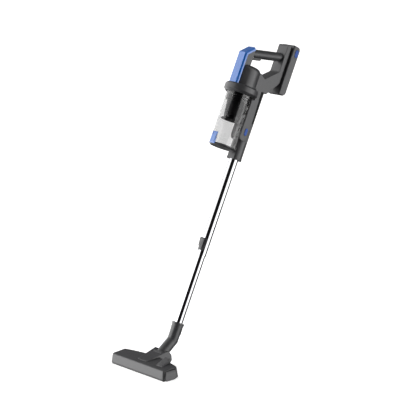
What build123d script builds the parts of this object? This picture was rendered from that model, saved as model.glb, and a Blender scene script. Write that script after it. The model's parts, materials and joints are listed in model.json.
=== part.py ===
from build123d import *
import os
from math import cos, pi, radians, sin, sqrt, tan

os.makedirs("parts", exist_ok=True)

# All sizes are in millimetres and degrees. The floor is z = 0, the head faces -Y and the user stands at +Y.

# Stance
lean = 26.0  # stick from upright
pipe_rise = 36.0  # lower neck above the floor

# Clearances
run_gap = 0.4  # faces that move past each other
fit_gap = 0.05  # pins in holes and tubes in bushes, on the radius
seat_gap = 0.1  # pieces fixed to each other

# Floor head
head_width = 280.0
head_front = 30.0  # front edge ahead of the rest point under the sole
head_depth_end = 68.0
head_depth_mid = 89.6
head_tall = 62.0  # height that every form of the head stays under
head_draft = 9.0
top_front = 36.0
top_slope = 4.5
head_wall = 2.5
corner_radius = 14.0
crown_radius = 5.0
lip_height = 6.0
cap_thickness = 4.5
seam_width = 2.6
seam_depth = 1.4
cap_low = 0.8

# Sole, mouth and bristle strips
sole_wall = 3.0
land_front = -25.0
land_back = 17.0
ramp_length = 9.0
sole_back = 52.0
mouth_inset = 28.0  # from the head's ends to the mouth's
mouth_front = -17.0
mouth_back = -8.0
strip_slot = 4.6
strip_front = -21.5
strip_back = 12.0
strip_inset = 32.0  # from the head's ends to the strips'
strand_width = 1.0
strand_count = 75
strand_rows = 2
bristle_lift = 0.9  # bristle tips above the floor when drawn in
bristle_drop = 5.0
carrier_wall = 3.0
carrier_bar = 6.2
nose_radius = 2.0

# Wheels
wheel_radius = 11.0
wheel_width = 12.0
wheel_x = 52.0
wheel_y = 36.0
axle_radius = 2.0
post_wall = 3.0
post_half = 5.0

# Foot pedal, on the user's left
pedal_inset = 55.7  # pedal's middle in from the head's end
pedal_front = -2.4
pedal_back = 36.0
pedal_high = 58.5
pedal_low = 23.0
pedal_front_width = 31.4
pedal_back_width = 24.5
pedal_pin_radius = 1.5
pedal_pin_back = 4.0
pedal_pin_high = 31.0
pedal_room = 7.0  # opening left behind the pedal for its swing
pedal_swing = 12.0

# Neck
pivot_back = 74.0
pivot_height = 36.0
drum_radius = 20.5
drum_half = 20.6
cover_front = -3.5
cover_front_half = 22.0
cover_back_half = 33.0
cover_crest_back = 86.0
cover_crest_high = 58.3
cover_back = 97.0
cover_low = 15.0
cover_draft = 8.0
cover_round = 8.0
cover_step = 1.0
slot_reach = 14.4  # slot of the neck cover ahead of the pivot
pivot_pin_radius = 4.0
pipe_radius = 19.0
pipe_bore = 14.0
pipe_length = 74.0
neck_radius = 20.2
neck_length = 62.0
seam_back = 5.0
spigot_radius = 16.4
spigot_length = 4.4
tube_seat = 44.0
rim_height = 7.0
rim_proud = 0.9
rib_proud = 3.4
rib_low = 15.5
rib_high = 49.6
rib_slope = 5.0

# Wand
lower_tube_radius = 14.5
upper_tube_radius = 16.0
tube_wall = 0.8
lower_shown = 243.0
upper_shown = 349.0
tube_overlap = 130.0
bush_length = 26.0
ring_length = 14.0
lock_pitch = 24.0
lock_count = 6
lock_radius = 2.6
saddle_wall = 2.6
saddle_spread = 100.0
saddle_length = 44.0
saddle_rise = 16.0  # from the upper tube's lower end
slider_half = 8.0
slider_length = 30.0
slider_low = 2.6
slider_high = 6.4
slider_nose = 4.0

# Hand unit: heights run up the stick from the socket's end, depths back from the dust cup's axis
cup_radius = 45.8
column_gap = 28.2  # from the cup's wall to the wand axis
cup_wall = 2.2
cup_low = 26.0
cup_high = 219.0
cup_bead = 0.8
bead_pitch = 9.0
lid_low = 19.0
lid_proud = 0.8
lid_edge = 5.0
ring_inner = 14.0
ring_outer = 32.6
ring_deep = 1.0
hinge_high = 27.0
hinge_radius = 3.4
hinge_pin_radius = 1.5
hinge_inner = 9.0
hinge_outer = 14.0
latch_half = 9.6
latch_pin_ahead = 4.8  # ahead of the cup's wall
latch_pin_high = 46.0
latch_pin_radius = 1.2
latch_low = 20.5
latch_high = 62.0
latch_ahead = 8.6
latch_bevel = 1.5
latch_ear = 2.6
dimple_half = 5.0
dimple_deep = 1.0
collar_proud = 13.2
collar_low = 212.0
collar_high = 241.5
mouth_proud = 5.2
collar_bevel = 4.5
web_low = 221.5
web_high = 226.5
web_lap = 5.0  # under the filter's pleats
housing_radius = 45.0
housing_high = 314.0
housing_wall = 2.5
housing_round = 16.0
vent_count = 9
vent_width = 2.6
vent_pitch = 6.8
shroud_top_radius = 34.0
shroud_low_radius = 28.0
shroud_low = 124.0
shroud_wall = 2.0
shroud_drum_low = 184.0
drum_gap = 2.0  # between the shroud's drum and the cup's wall
skirt_radius = 36.6
skirt_drop = 7.0
shroud_slots = 24
slot_width = 2.2
inlet_high = 164.0
inlet_radius = 12.5
socket_radius = 25.5
socket_high = 251.0
socket_bore_gap = 0.08
socket_lip = 0.9
socket_lip_height = 5.0
socket_flat = 20.0  # front of the socket ahead of the wand axis, beside the lid hinge
wand_seat = 60.0
duct_radius = 14.5
frame_half = 23.0
frame_wall = 3.0
panel_ahead = 31.0  # ahead of the wand axis
panel_behind = 5.0
panel_round = 15.0
panel_low = 67.0
cover_strip_low = 76.0
cover_strip_long = 138.0
strip_wall = 2.0
strip_spread = 70.0
strip_play = 1.0
plate_behind = 51.0  # behind the wand axis
plate_thick = 18.0
plate_high = 445.0
arm_low_back = 304.0
loop_corner_high = 342.0
notch_ahead = 5.3
notch_high = 296.0
apex_ahead = 27.5
apex_high = 307.0
spine_ahead = 8.0  # ahead of the housing's wall
spine_half = 20.0
spine_back = -13.0
spine_shoulder = 350.0
spine_top_back = -19.0
spine_top_high = 380.0
cover_wall = 3.0
cover_flange = 8.0
cover_side = 1.5
cover_chamfer = 5.0
grip_radius = 15.6
grip_bore = 12.6
grip_front_high = 357.6
grip_back_high = 395.1
trigger_start = 4.0  # along the grip from its front end
trigger_length = 42.0
trigger_half = 8.0
trigger_proud = 6.0
trigger_pin_radius = 1.5
button_high = 100.0
button_ahead = 10.0
button_long = 26.0
button_wide = 13.0
button_proud = 1.4
button_depth = 5.6
button_travel = 2.0
arm_round = 22.0
plate_round = 8.0
fillet_small = 2.0
edge_break = 1.0
screw_radius = 2.6
screw_boss = 4.6
screw_reach = 12.0
screw_hex = 1.3
terminal_half = 10.0
terminal_tall = 20.0
board_long = 38.0
board_wide = 22.0
board_wall = 1.6
board_turn = 45.0
switch_long = 12.0
switch_tall = 8.0
switch_half = 5.0
seal_height = 3.0
seal_depth = 2.2

# Filter and motor
filter_margin = 4.5  # to the housing's wall
pleat_deep = 7.0
filter_band = 5.0  # from the pleats' valleys to the core
filter_height = 20.0
filter_rim = 2.0
pleat_count = 30
motor_radius = 30.0
motor_low = 264.0
motor_high = 306.0
motor_round = 3.0
seat_ring_height = 8.0
impeller_radius = 27.0
impeller_height = 6.0
impeller_gap = 2.0
blade_count = 9
blade_long = 18.9
blade_wall = 1.2
blade_turn = 35.0
shaft_radius = 2.5

# Battery
battery_half = 31.0
battery_thick = 33.0
rail_depth = 6.0
rail_inset = 4.0
battery_low = 271.0
battery_high = 451.0
battery_wall = 2.5
battery_split = 6.0
cell_radius = 9.1
cell_length = 65.0
cell_gap = 0.5
cell_columns = 3
cell_rows = 2
release_high = 426.0
release_behind = 19.6  # behind the battery's front
release_long = 28.0
release_wide = 16.0
release_proud = 1.2
jack_radius = 2.75
jack_wall = 1.6
jack_length = 8.0
battery_foot_round = 16.0
battery_top_round = 12.0
battery_edge = 4.0

# Directions and stations along the stick
across = Vector(1, 0, 0)
up_stick = Vector(0, sin(radians(lean)), cos(radians(lean)))
back_stick = Vector(0, cos(radians(lean)), -sin(radians(lean)))
up_pipe = Vector(0, cos(radians(pipe_rise)), sin(radians(pipe_rise)))
pivot = Vector(0, pivot_back, pivot_height)
elbow = pivot + up_pipe * pipe_length
rim = elbow + up_stick * neck_length
seam = rim + up_stick * lower_shown
socket_end = seam + up_stick * upper_shown
cup_offset = cup_radius + column_gap
cup_foot = socket_end - back_stick * cup_offset
unit_side = Plane(origin=cup_foot, x_dir=back_stick, z_dir=across)
wand_side = Plane(origin=socket_end, x_dir=back_stick, z_dir=across)
neck_side = Plane(origin=elbow, x_dir=back_stick, z_dir=across)
cup_axis = Axis(cup_foot, up_stick)

# Places that go with the head's ends, the cup's wall, the housing and the wand column
mouth_half = head_width / 2 - mouth_inset
strip_half = head_width / 2 - strip_inset
pedal_x = head_width / 2 - pedal_inset
hinge_back = cup_radius + hinge_radius + run_gap
lid_rim = cup_radius + lid_proud
latch_pin_front = cup_radius + latch_pin_ahead
latch_front = cup_radius + latch_ahead
collar_radius = cup_radius + collar_proud
collar_mouth = cup_radius + mouth_proud
shroud_drum_radius = cup_radius - cup_wall - drum_gap
spine_front = housing_radius + spine_ahead
filter_radius = housing_radius - housing_wall - filter_margin
filter_valley = filter_radius - pleat_deep
filter_core = filter_valley - filter_band
web_radius = filter_radius - web_lap
panel_front = cup_offset - panel_ahead
panel_back = cup_offset + panel_behind
button_back = cup_offset - button_ahead
notch_back = cup_offset - notch_ahead
apex_back = cup_offset - apex_ahead
plate_front = cup_offset + plate_behind
plate_back = plate_front + plate_thick


def square_to(direction, origin, distance=0.0):
    """Plane square to a direction, at a distance along it from a point, with its x across the object."""
    return Plane(origin=origin + direction * distance, x_dir=across, z_dir=direction)


def cup_level(height):
    return square_to(up_stick, cup_foot, height)


def wand_level(height):
    return square_to(up_stick, socket_end, height)


def top_at(back):
    """Height of the head's sloping top at a place behind the rest point."""
    return top_front + (back + head_front) * tan(radians(top_slope))


def polygon(*points):
    """A closed outline drawn at its own coordinates."""
    Polygon(*points, align=None)


def tube(plane, outer, inner, length):
    """A round tube standing on a plane."""
    with BuildPart() as pipe:
        with BuildSketch(plane):
            Circle(outer)
            Circle(inner, mode=Mode.SUBTRACT)
        extrude(amount=length)
    return pipe.part


def turned(axis, plane, *points):
    """A solid of revolution from points of a half section."""
    with BuildPart() as solid:
        with BuildSketch(plane):
            polygon(*points)
        revolve(axis=axis)
    return solid.part


def wedge(plane, toward, spread, reach):
    """A pie-shaped outline open toward +1 or -1 of the plane's y."""
    half_angle = radians(spread / 2)
    side = reach * sin(half_angle)
    with BuildSketch(plane) as pie:
        polygon(
            (0, 0),
            (side, toward * reach * cos(half_angle)),
            (0, toward * 2 * reach),
            (-side, toward * reach * cos(half_angle)),
        )
    return pie.sketch


# Floor head
def head_block(inset):
    """The head's outer form, drawn in by inset all round and on top."""
    half = head_width / 2 - inset
    front = inset - head_front
    end_back = head_depth_end - head_front - inset
    mid_back = head_depth_mid - head_front - inset
    with BuildPart() as block:
        with BuildSketch() as plan:
            with BuildLine():
                Polyline((-half, end_back), (-half, front), (half, front), (half, end_back))
                ThreePointArc((half, end_back), (0, mid_back), (-half, end_back))
            make_face()
            fillet(plan.vertices(), corner_radius - inset)
        extrude(amount=head_tall, taper=head_draft)
        with BuildSketch(Plane.YZ):
            polygon(
                (-head_width, 0),
                (head_width, 0),
                (head_width, top_at(head_width) - inset),
                (-head_width, top_at(-head_width) - inset),
            )
        extrude(amount=head_width, both=True, mode=Mode.INTERSECT)
        fillet(block.faces().sort_by(Axis.Z)[-1].edges(), crown_radius - inset)
    return block.part


def slice_across(form, low, high):
    """The part of a form between two places across the object."""
    with BuildPart() as piece:
        add(form)
        with BuildSketch(Plane.YZ.offset(low)):
            Rectangle(4 * head_depth_mid, 4 * head_tall)
        extrude(amount=high - low, mode=Mode.INTERSECT)
    return piece.part


head_outer = head_block(0)
head_inner = head_block(head_wall)
cap_half = head_width / 2 - cap_thickness
shell_half = cap_half - seam_width
tab_x = pedal_front_width / 2 + run_gap + post_wall / 2

with BuildPart() as head_shell:
    add(head_outer)
    add(head_inner, mode=Mode.SUBTRACT)
    with BuildSketch(Plane.XY.offset(lip_height)):
        Rectangle(2 * shell_half, 4 * head_depth_mid)
    extrude(amount=head_tall, mode=Mode.INTERSECT)
    # Ears under the top that carry the pedal pin
    with BuildSketch(Plane.XY.offset(pedal_pin_high - 2 * pedal_pin_radius)):
        with Locations((pedal_x - tab_x, pedal_pin_back), (pedal_x + tab_x, pedal_pin_back)):
            Rectangle(post_wall, 4 * pedal_pin_radius)
    extrude(until=Until.NEXT)
    with BuildSketch(Plane.YZ.offset(pedal_x)):
        with Locations((pedal_pin_back, pedal_pin_high)):
            Circle(pedal_pin_radius)
    extrude(amount=pedal_front_width, both=True, mode=Mode.SUBTRACT)
    # Openings for the neck drum and the pedal
    with BuildSketch():
        with Locations((0, pivot_back)):
            Rectangle(2 * (drum_half + run_gap), 2 * (drum_radius + run_gap))
        with Locations((pedal_x, (pedal_front + pedal_back + pedal_room) / 2)):
            Rectangle(pedal_front_width + 2 * run_gap, pedal_back - pedal_front + pedal_room + 2 * run_gap)
    extrude(amount=head_tall, mode=Mode.SUBTRACT)
head_shell.part.label = "head_shell"
export_step(head_shell.part, "parts/head_shell.step")

cap_seam = head_block(seam_depth)
for end_name, end_side in (("left", 1), ("right", -1)):
    outer_span = sorted((end_side * cap_half, end_side * head_width / 2))
    seam_span = sorted((end_side * shell_half, end_side * cap_half))
    with BuildPart() as end_cap:
        add(slice_across(head_outer, *outer_span))
        add(slice_across(cap_seam, *seam_span))
        with BuildSketch(Plane.YZ):
            polygon(
                (-2 * head_front, 2 * lip_height),
                (-head_front, lip_height),
                (land_front + ramp_length, cap_low),
                (land_back, cap_low),
                (head_depth_end - head_front, lip_height + cap_low),
                (2 * head_depth_mid, lip_height + cap_low),
                (2 * head_depth_mid, 2 * head_tall),
                (-2 * head_front, 2 * head_tall),
            )
        extrude(amount=head_width, both=True, mode=Mode.INTERSECT)
    end_cap.part.label = f"end_cap_{end_name}"
    export_step(end_cap.part, f"parts/end_cap_{end_name}.step")

well_half = wheel_width / 2 + run_gap
post_x = well_half + post_wall / 2
with BuildPart() as sole_plate:
    with BuildSketch(Plane.YZ):
        polygon(
            (-head_front, lip_height),
            (land_front, 0),
            (land_back, 0),
            (land_back + ramp_length, lip_height),
            (sole_back, lip_height),
            (sole_back, lip_height + sole_wall),
            (land_back + ramp_length - sole_wall / 2, lip_height + sole_wall),
            (land_back - sole_wall / 2, sole_wall),
            (land_front + sole_wall / 2, sole_wall),
            (-head_front, lip_height + sole_wall),
        )
    extrude(amount=shell_half - seat_gap, both=True)
    add(head_block(head_wall + seat_gap), mode=Mode.INTERSECT)
    # Suction mouth, slots for the bristle strips and wells for the wheels
    with BuildSketch():
        with Locations((0, (mouth_front + mouth_back) / 2)):
            Rectangle(2 * mouth_half, mouth_back - mouth_front)
        with Locations((0, strip_front), (0, strip_back)):
            Rectangle(2 * strip_half + strip_slot, strip_slot)
        with Locations((-wheel_x, wheel_y), (wheel_x, wheel_y)):
            Rectangle(2 * well_half, 2 * (wheel_radius + 3 * run_gap))
    extrude(amount=head_tall, mode=Mode.SUBTRACT)
    # Posts for the wheel axles
    with BuildSketch(Plane.XY.offset(lip_height)):
        for wheel_place in (-wheel_x, wheel_x):
            with Locations((wheel_place - post_x, wheel_y), (wheel_place + post_x, wheel_y)):
                Rectangle(post_wall, 2 * post_half)
    extrude(amount=wheel_radius + post_half - lip_height)
    with BuildSketch(Plane.YZ):
        with Locations((wheel_y, wheel_radius)):
            Circle(axle_radius)
    extrude(amount=head_width / 2, both=True, mode=Mode.SUBTRACT)
sole_plate.part.label = "sole_plate"
export_step(sole_plate.part, "parts/sole_plate.step")

with BuildPart() as wheel_axles:
    for wheel_place in (-wheel_x, wheel_x):
        with BuildSketch(Plane.YZ.offset(wheel_place)):
            with Locations((wheel_y, wheel_radius)):
                Circle(axle_radius)
        extrude(amount=post_x + post_wall / 2, both=True)
wheel_axles.part.label = "wheel_axles"
export_step(wheel_axles.part, "parts/wheel_axles.step")

for wheel_name, wheel_place in (("left", wheel_x), ("right", -wheel_x)):
    with BuildPart() as wheel:
        with BuildSketch(Plane.YZ.offset(wheel_place)):
            with Locations((wheel_y, wheel_radius)):
                Circle(wheel_radius)
        extrude(amount=wheel_width / 2, both=True)
        chamfer(wheel.edges().filter_by(GeomType.CIRCLE), wheel_width / 8)
        with BuildSketch(Plane.YZ.offset(wheel_place)):
            with Locations((wheel_y, wheel_radius)):
                Circle(axle_radius + fit_gap)
        extrude(amount=wheel_width, both=True, mode=Mode.SUBTRACT)
    wheel.part.label = f"wheel_{wheel_name}"
    export_step(wheel.part, f"parts/wheel_{wheel_name}.step")

# Bristle carrier: two bars over the slots, cross pieces and a riser under the pedal
# The riser's round nose keeps the same gap under the pedal at both ends of its swing
carrier_low = sole_wall + bristle_drop + 3 * run_gap
push_high = pedal_low - run_gap
arm_low = lip_height + carrier_low
nose_lever = bristle_drop / tan(radians(pedal_swing))
nose_slip = (pedal_pin_high - push_high + nose_radius) * tan(radians(pedal_swing / 2))
push_back = pedal_pin_back + nose_lever - nose_slip
strip_mid = (strip_front + strip_back) / 2
with BuildPart() as bristle_carrier:
    with BuildSketch(Plane.XY.offset(carrier_low)):
        with Locations((0, strip_front), (0, strip_back)):
            Rectangle(2 * strip_half, carrier_bar - 2 * run_gap)
        with Locations((-strip_half / 2, strip_mid), (strip_half / 2, strip_mid)):
            Rectangle(carrier_bar, strip_back - strip_front)
    extrude(amount=carrier_wall)
    with BuildSketch(Plane.XY.offset(carrier_low)):
        with Locations((pedal_x, strip_back)):
            Rectangle(2 * carrier_bar, carrier_bar - 2 * run_gap)
    extrude(amount=arm_low + carrier_wall - carrier_low)
    with BuildSketch(Plane.XY.offset(arm_low)):
        with Locations((pedal_x, (strip_back + push_back) / 2)):
            Rectangle(2 * carrier_bar, push_back - strip_back + carrier_bar)
    extrude(amount=carrier_wall)
    with BuildSketch(Plane.YZ.offset(pedal_x)):
        with Locations((push_back, (arm_low + push_high - nose_radius) / 2)):
            Rectangle(2 * nose_radius, push_high - nose_radius - arm_low)
        with Locations((push_back, push_high - nose_radius)):
            Circle(nose_radius)
    extrude(amount=carrier_bar, both=True)
bristle_carrier.part.label = "bristle_carrier"
export_step(bristle_carrier.part, "parts/bristle_carrier.step")

backing_low = carrier_low - carrier_wall
for strip_name, strip_place in (("front", strip_front), ("back", strip_back)):
    with BuildPart() as bristle_strip:
        with BuildSketch(Plane.XY.offset(backing_low)):
            with Locations((0, strip_place)):
                Rectangle(2 * strip_half, strip_slot - 2 * run_gap)
        extrude(amount=carrier_wall)
        with BuildSketch(Plane.XY.offset(bristle_lift)):
            with Locations((0, strip_place)):
                strand_pitch = 2 * strip_half / strand_count
                with GridLocations(strand_pitch, 2 * strand_width, strand_count, strand_rows):
                    Rectangle(strand_width, strand_width)
        extrude(amount=backing_low - bristle_lift)
    bristle_strip.part.label = f"bristle_strip_{strip_name}"
    export_step(bristle_strip.part, f"parts/bristle_strip_{strip_name}.step")

# Foot pedal: a wedge that rises to the back, narrower there
with BuildPart() as foot_pedal:
    with BuildSketch(Plane.YZ.offset(pedal_x)):
        polygon(
            (pedal_front, pedal_pin_high - 2 * pedal_pin_radius),
            (pedal_front, top_at(pedal_front) + 2 * run_gap),
            (pedal_back, pedal_high),
            (pedal_back, pedal_low),
            (push_back - carrier_bar, pedal_low),
        )
    extrude(amount=pedal_front_width / 2, both=True)
    with BuildSketch():
        polygon(
            (pedal_x - pedal_front_width / 2, pedal_front),
            (pedal_x + pedal_front_width / 2, pedal_front),
            (pedal_x + pedal_back_width / 2, pedal_back),
            (pedal_x - pedal_back_width / 2, pedal_back),
        )
    extrude(amount=2 * head_tall, mode=Mode.INTERSECT)
    fillet(foot_pedal.faces().sort_by(Axis.Z)[-1].edges(), crown_radius / 4)
    with BuildSketch(Plane.YZ.offset(pedal_x)):
        with Locations((pedal_pin_back, pedal_pin_high)):
            Circle(pedal_pin_radius + fit_gap)
    extrude(amount=pedal_front_width, both=True, mode=Mode.SUBTRACT)
foot_pedal.part.label = "foot_pedal"
export_step(foot_pedal.part, "parts/foot_pedal.step")

with BuildPart() as pedal_pin:
    with BuildSketch(Plane.YZ.offset(pedal_x)):
        with Locations((pedal_pin_back, pedal_pin_high)):
            Circle(pedal_pin_radius)
    extrude(amount=tab_x + post_wall / 2, both=True)
pedal_pin.part.label = "pedal_pin"
export_step(pedal_pin.part, "parts/pedal_pin.step")

# Neck cover: a rising hump that ends in two ears round the neck drum
with BuildPart() as neck_cover:
    with BuildSketch(Plane.YZ) as cover_section:
        with BuildLine():
            Polyline(
                (pivot_back - drum_radius, top_front - crown_radius),
                (2 * cover_front, top_front - crown_radius),
                (2 * cover_front, top_at(2 * cover_front) + cover_step),
                (cover_crest_back, cover_crest_high),
            )
            Line((cover_crest_back, cover_crest_high), (cover_back, pivot_height + drum_radius / 3))
            Polyline(
                (cover_back, pivot_height + drum_radius / 3),
                (cover_back, pivot_height - drum_radius / 2),
                (cover_crest_back, cover_low),
                (pivot_back - drum_radius, cover_low),
                (pivot_back - drum_radius, top_front - crown_radius),
            )
        make_face()
        fillet(cover_section.vertices().sort_by(Axis.Y)[-1], crown_radius)
    extrude(amount=2 * cover_back_half, both=True)
    with BuildSketch() as cover_plan:
        front_foot = cover_front_half + top_at(cover_front) * tan(radians(cover_draft))
        back_foot = cover_back_half + cover_crest_high * tan(radians(cover_draft))
        front_edge = cover_front - top_at(cover_front) * tan(radians(cover_draft))
        polygon(
            (-front_foot, front_edge),
            (front_foot, front_edge),
            (back_foot, cover_crest_back),
            (back_foot, 2 * cover_back),
            (-back_foot, 2 * cover_back),
            (-back_foot, cover_crest_back),
        )
        fillet(cover_plan.vertices().group_by(Axis.Y)[0], cover_round)
    extrude(amount=head_tall, taper=cover_draft, mode=Mode.INTERSECT)
    add(head_outer, mode=Mode.SUBTRACT)
    # Slot for the drum and the swinging pipe
    with BuildSketch(Plane.YZ):
        polygon(
            (pivot_back - slot_reach, 2 * head_tall),
            (pivot_back - slot_reach, pivot_height),
            (pivot_back, pivot_height - drum_radius),
            (pivot_back, 0),
            (2 * cover_back, 0),
            (2 * cover_back, 2 * head_tall),
        )
        with Locations((pivot_back, pivot_height)):
            Circle(drum_radius + run_gap)
    extrude(amount=drum_half + run_gap, both=True, mode=Mode.SUBTRACT)
    with BuildSketch(Plane.YZ):
        with Locations((pivot_back, pivot_height)):
            Circle(pivot_pin_radius)
    extrude(amount=drum_half + 2 * pivot_pin_radius, both=True, mode=Mode.SUBTRACT)
neck_cover.part.label = "neck_cover"
export_step(neck_cover.part, "parts/neck_cover.step")

with BuildPart() as pivot_pins:
    for pin_start in (drum_half - pivot_pin_radius, -drum_half - 2 * pivot_pin_radius):
        with BuildSketch(Plane.YZ.offset(pin_start)):
            with Locations((pivot_back, pivot_height)):
                Circle(pivot_pin_radius)
        extrude(amount=3 * pivot_pin_radius)
pivot_pins.part.label = "pivot_pins"
export_step(pivot_pins.part, "parts/pivot_pins.step")

# Lower neck: the drum between the ears and a pipe up to the swivel seam
with BuildPart() as lower_neck:
    with BuildSketch(Plane.YZ):
        with Locations((pivot_back, pivot_height)):
            Circle(drum_radius)
    extrude(amount=drum_half, both=True)
    with BuildSketch(square_to(up_pipe, pivot)):
        Circle(pipe_radius)
    extrude(amount=pipe_length - seam_back - run_gap)
    with BuildSketch(square_to(up_pipe, pivot)):
        Circle(spigot_radius)
    extrude(amount=pipe_length - seam_back + spigot_length)
    with BuildSketch(square_to(up_pipe, pivot)):
        Circle(pipe_bore)
    extrude(amount=2 * pipe_length, mode=Mode.SUBTRACT)
    # Air way from the head, through the front of the drum
    with BuildSketch(Plane.XZ.offset(-pivot_back)):
        with Locations((0, pivot_height - drum_radius / 4)):
            Circle(pipe_bore - edge_break)
    extrude(amount=2 * drum_radius, mode=Mode.SUBTRACT)
    with BuildSketch(Plane.YZ):
        with Locations((pivot_back, pivot_height)):
            Circle(pivot_pin_radius + fit_gap)
    extrude(amount=2 * drum_half, both=True, mode=Mode.SUBTRACT)
lower_neck.part.label = "lower_neck"
export_step(lower_neck.part, "parts/lower_neck.step")

# Upper neck: a mitred elbow with a socket for the lower tube and a parking rib behind
with BuildPart() as upper_neck:
    with BuildLine() as elbow_path:
        Polyline(elbow - up_pipe * seam_back, elbow, rim)
    with BuildSketch(square_to(up_pipe, elbow, -seam_back)):
        Circle(pipe_radius)
    sweep(path=elbow_path.wire(), transition=Transition.RIGHT)
    with BuildSketch(square_to(up_stick, rim, -neck_length / 2)):
        Circle(pipe_radius)
    with BuildSketch(square_to(up_stick, rim, -rim_height)):
        Circle(neck_radius)
    loft()
    with BuildSketch(square_to(up_stick, rim, -rim_height)):
        Circle(neck_radius + rim_proud)
    extrude(amount=rim_height)
    with BuildSketch(neck_side):
        polygon(
            (0, rib_low),
            (pipe_radius, rib_low),
            (pipe_radius + rib_proud, rib_low + 2 * rib_slope),
            (pipe_radius + rib_proud, rib_high - rib_slope),
            (pipe_radius, rib_high),
            (0, rib_high),
        )
    extrude(amount=pipe_radius / 3, both=True)
    with BuildSketch(square_to(up_stick, rim, -tube_seat)):
        Circle(lower_tube_radius + seat_gap)
    extrude(amount=tube_seat, mode=Mode.SUBTRACT)
    with BuildSketch(square_to(up_stick, elbow, -pipe_bore)):
        Circle(lower_tube_radius - tube_wall)
    extrude(amount=neck_length, mode=Mode.SUBTRACT)
    with BuildSketch(square_to(up_pipe, elbow, -seam_back)):
        Circle(spigot_radius + run_gap)
    extrude(amount=spigot_length + run_gap, mode=Mode.SUBTRACT)
    with BuildSketch(square_to(up_pipe, elbow, -seam_back)):
        Circle(pipe_bore - run_gap)
    extrude(amount=pipe_bore, mode=Mode.SUBTRACT)
upper_neck.part.label = "upper_neck"
export_step(upper_neck.part, "parts/upper_neck.step")

# Wand
with BuildPart() as lower_tube:
    add(
        tube(
            square_to(up_stick, rim, -tube_seat),
            lower_tube_radius,
            lower_tube_radius - tube_wall,
            tube_seat + lower_shown + tube_overlap,
        )
    )
    # Row of locking holes down the back
    for lock in range(lock_count):
        lock_height = lower_shown - lock * lock_pitch + saddle_rise + saddle_length / 2
        with BuildSketch(Plane(origin=rim + up_stick * lock_height, x_dir=across, z_dir=back_stick)):
            Circle(lock_radius)
        extrude(amount=2 * lower_tube_radius, mode=Mode.SUBTRACT)
lower_tube.part.label = "lower_tube"
export_step(lower_tube.part, "parts/lower_tube.step")

upper_bore = upper_tube_radius - tube_wall
with BuildPart() as upper_tube:
    add(tube(square_to(up_stick, seam), upper_tube_radius, upper_bore, upper_shown + wand_seat - run_gap))
upper_tube.part.label = "upper_tube"
export_step(upper_tube.part, "parts/upper_tube.step")

with BuildPart() as guide_bush:
    add(tube(square_to(up_stick, seam), upper_bore, lower_tube_radius + fit_gap, bush_length))
guide_bush.part.label = "guide_bush"
export_step(guide_bush.part, "parts/guide_bush.step")

with BuildPart() as slide_ring:
    ring_base = square_to(up_stick, seam, tube_overlap - ring_length)
    add(tube(ring_base, upper_bore - fit_gap, lower_tube_radius, ring_length))
slide_ring.part.label = "slide_ring"
export_step(slide_ring.part, "parts/slide_ring.step")

# Latch of the telescopic tube: a saddle on the front and a wedge-shaped slider on it
saddle_radius = upper_tube_radius + saddle_wall
with BuildPart() as latch_saddle:
    add(tube(square_to(up_stick, seam, saddle_rise), saddle_radius, upper_tube_radius, saddle_length))
    saddle_pie = wedge(square_to(up_stick, seam, saddle_rise), -1, saddle_spread, 2 * saddle_radius)
    extrude(saddle_pie, amount=saddle_length, mode=Mode.INTERSECT)
    # Flat seat for the slider
    with BuildSketch(square_to(up_stick, seam, saddle_rise)):
        with Locations((0, -saddle_radius - saddle_wall)):
            Rectangle(2 * slider_half + 2 * run_gap, 2 * saddle_wall + 2 * run_gap)
    extrude(amount=saddle_length, mode=Mode.SUBTRACT)
latch_saddle.part.label = "latch_saddle"
export_step(latch_saddle.part, "parts/latch_saddle.step")

slider_side = Plane(origin=seam, x_dir=back_stick, z_dir=across)
slider_back = -saddle_radius
slider_start = saddle_rise + saddle_length - slider_length - 2 * run_gap
with BuildPart() as latch_slider:
    with BuildSketch(slider_side):
        polygon(
            (slider_back, slider_start),
            (slider_back, slider_start + slider_length),
            (slider_back - slider_low, slider_start + slider_length),
            (slider_back - slider_high, slider_start + slider_length - slider_nose),
            (slider_back - slider_low, slider_start),
        )
    extrude(amount=slider_half, both=True)
    fillet(latch_slider.edges().filter_by(Axis.X).sort_by(Axis(seam, back_stick))[:2], slider_low / 3)
latch_slider.part.label = "latch_slider"
export_step(latch_slider.part, "parts/latch_slider.step")

# Dust cup
cup_inner = cup_radius - cup_wall
bead_heights = (collar_low - 2 * bead_pitch, collar_low - bead_pitch)
ear_back = cup_inner + cup_wall / 2


def cup_bead_points(height):
    """A rounded bead round the cup, as three points of its section."""
    return (
        (cup_radius, height - cup_bead * 1.5),
        (cup_radius + cup_bead, height),
        (cup_radius, height + cup_bead * 1.5),
    )


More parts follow.
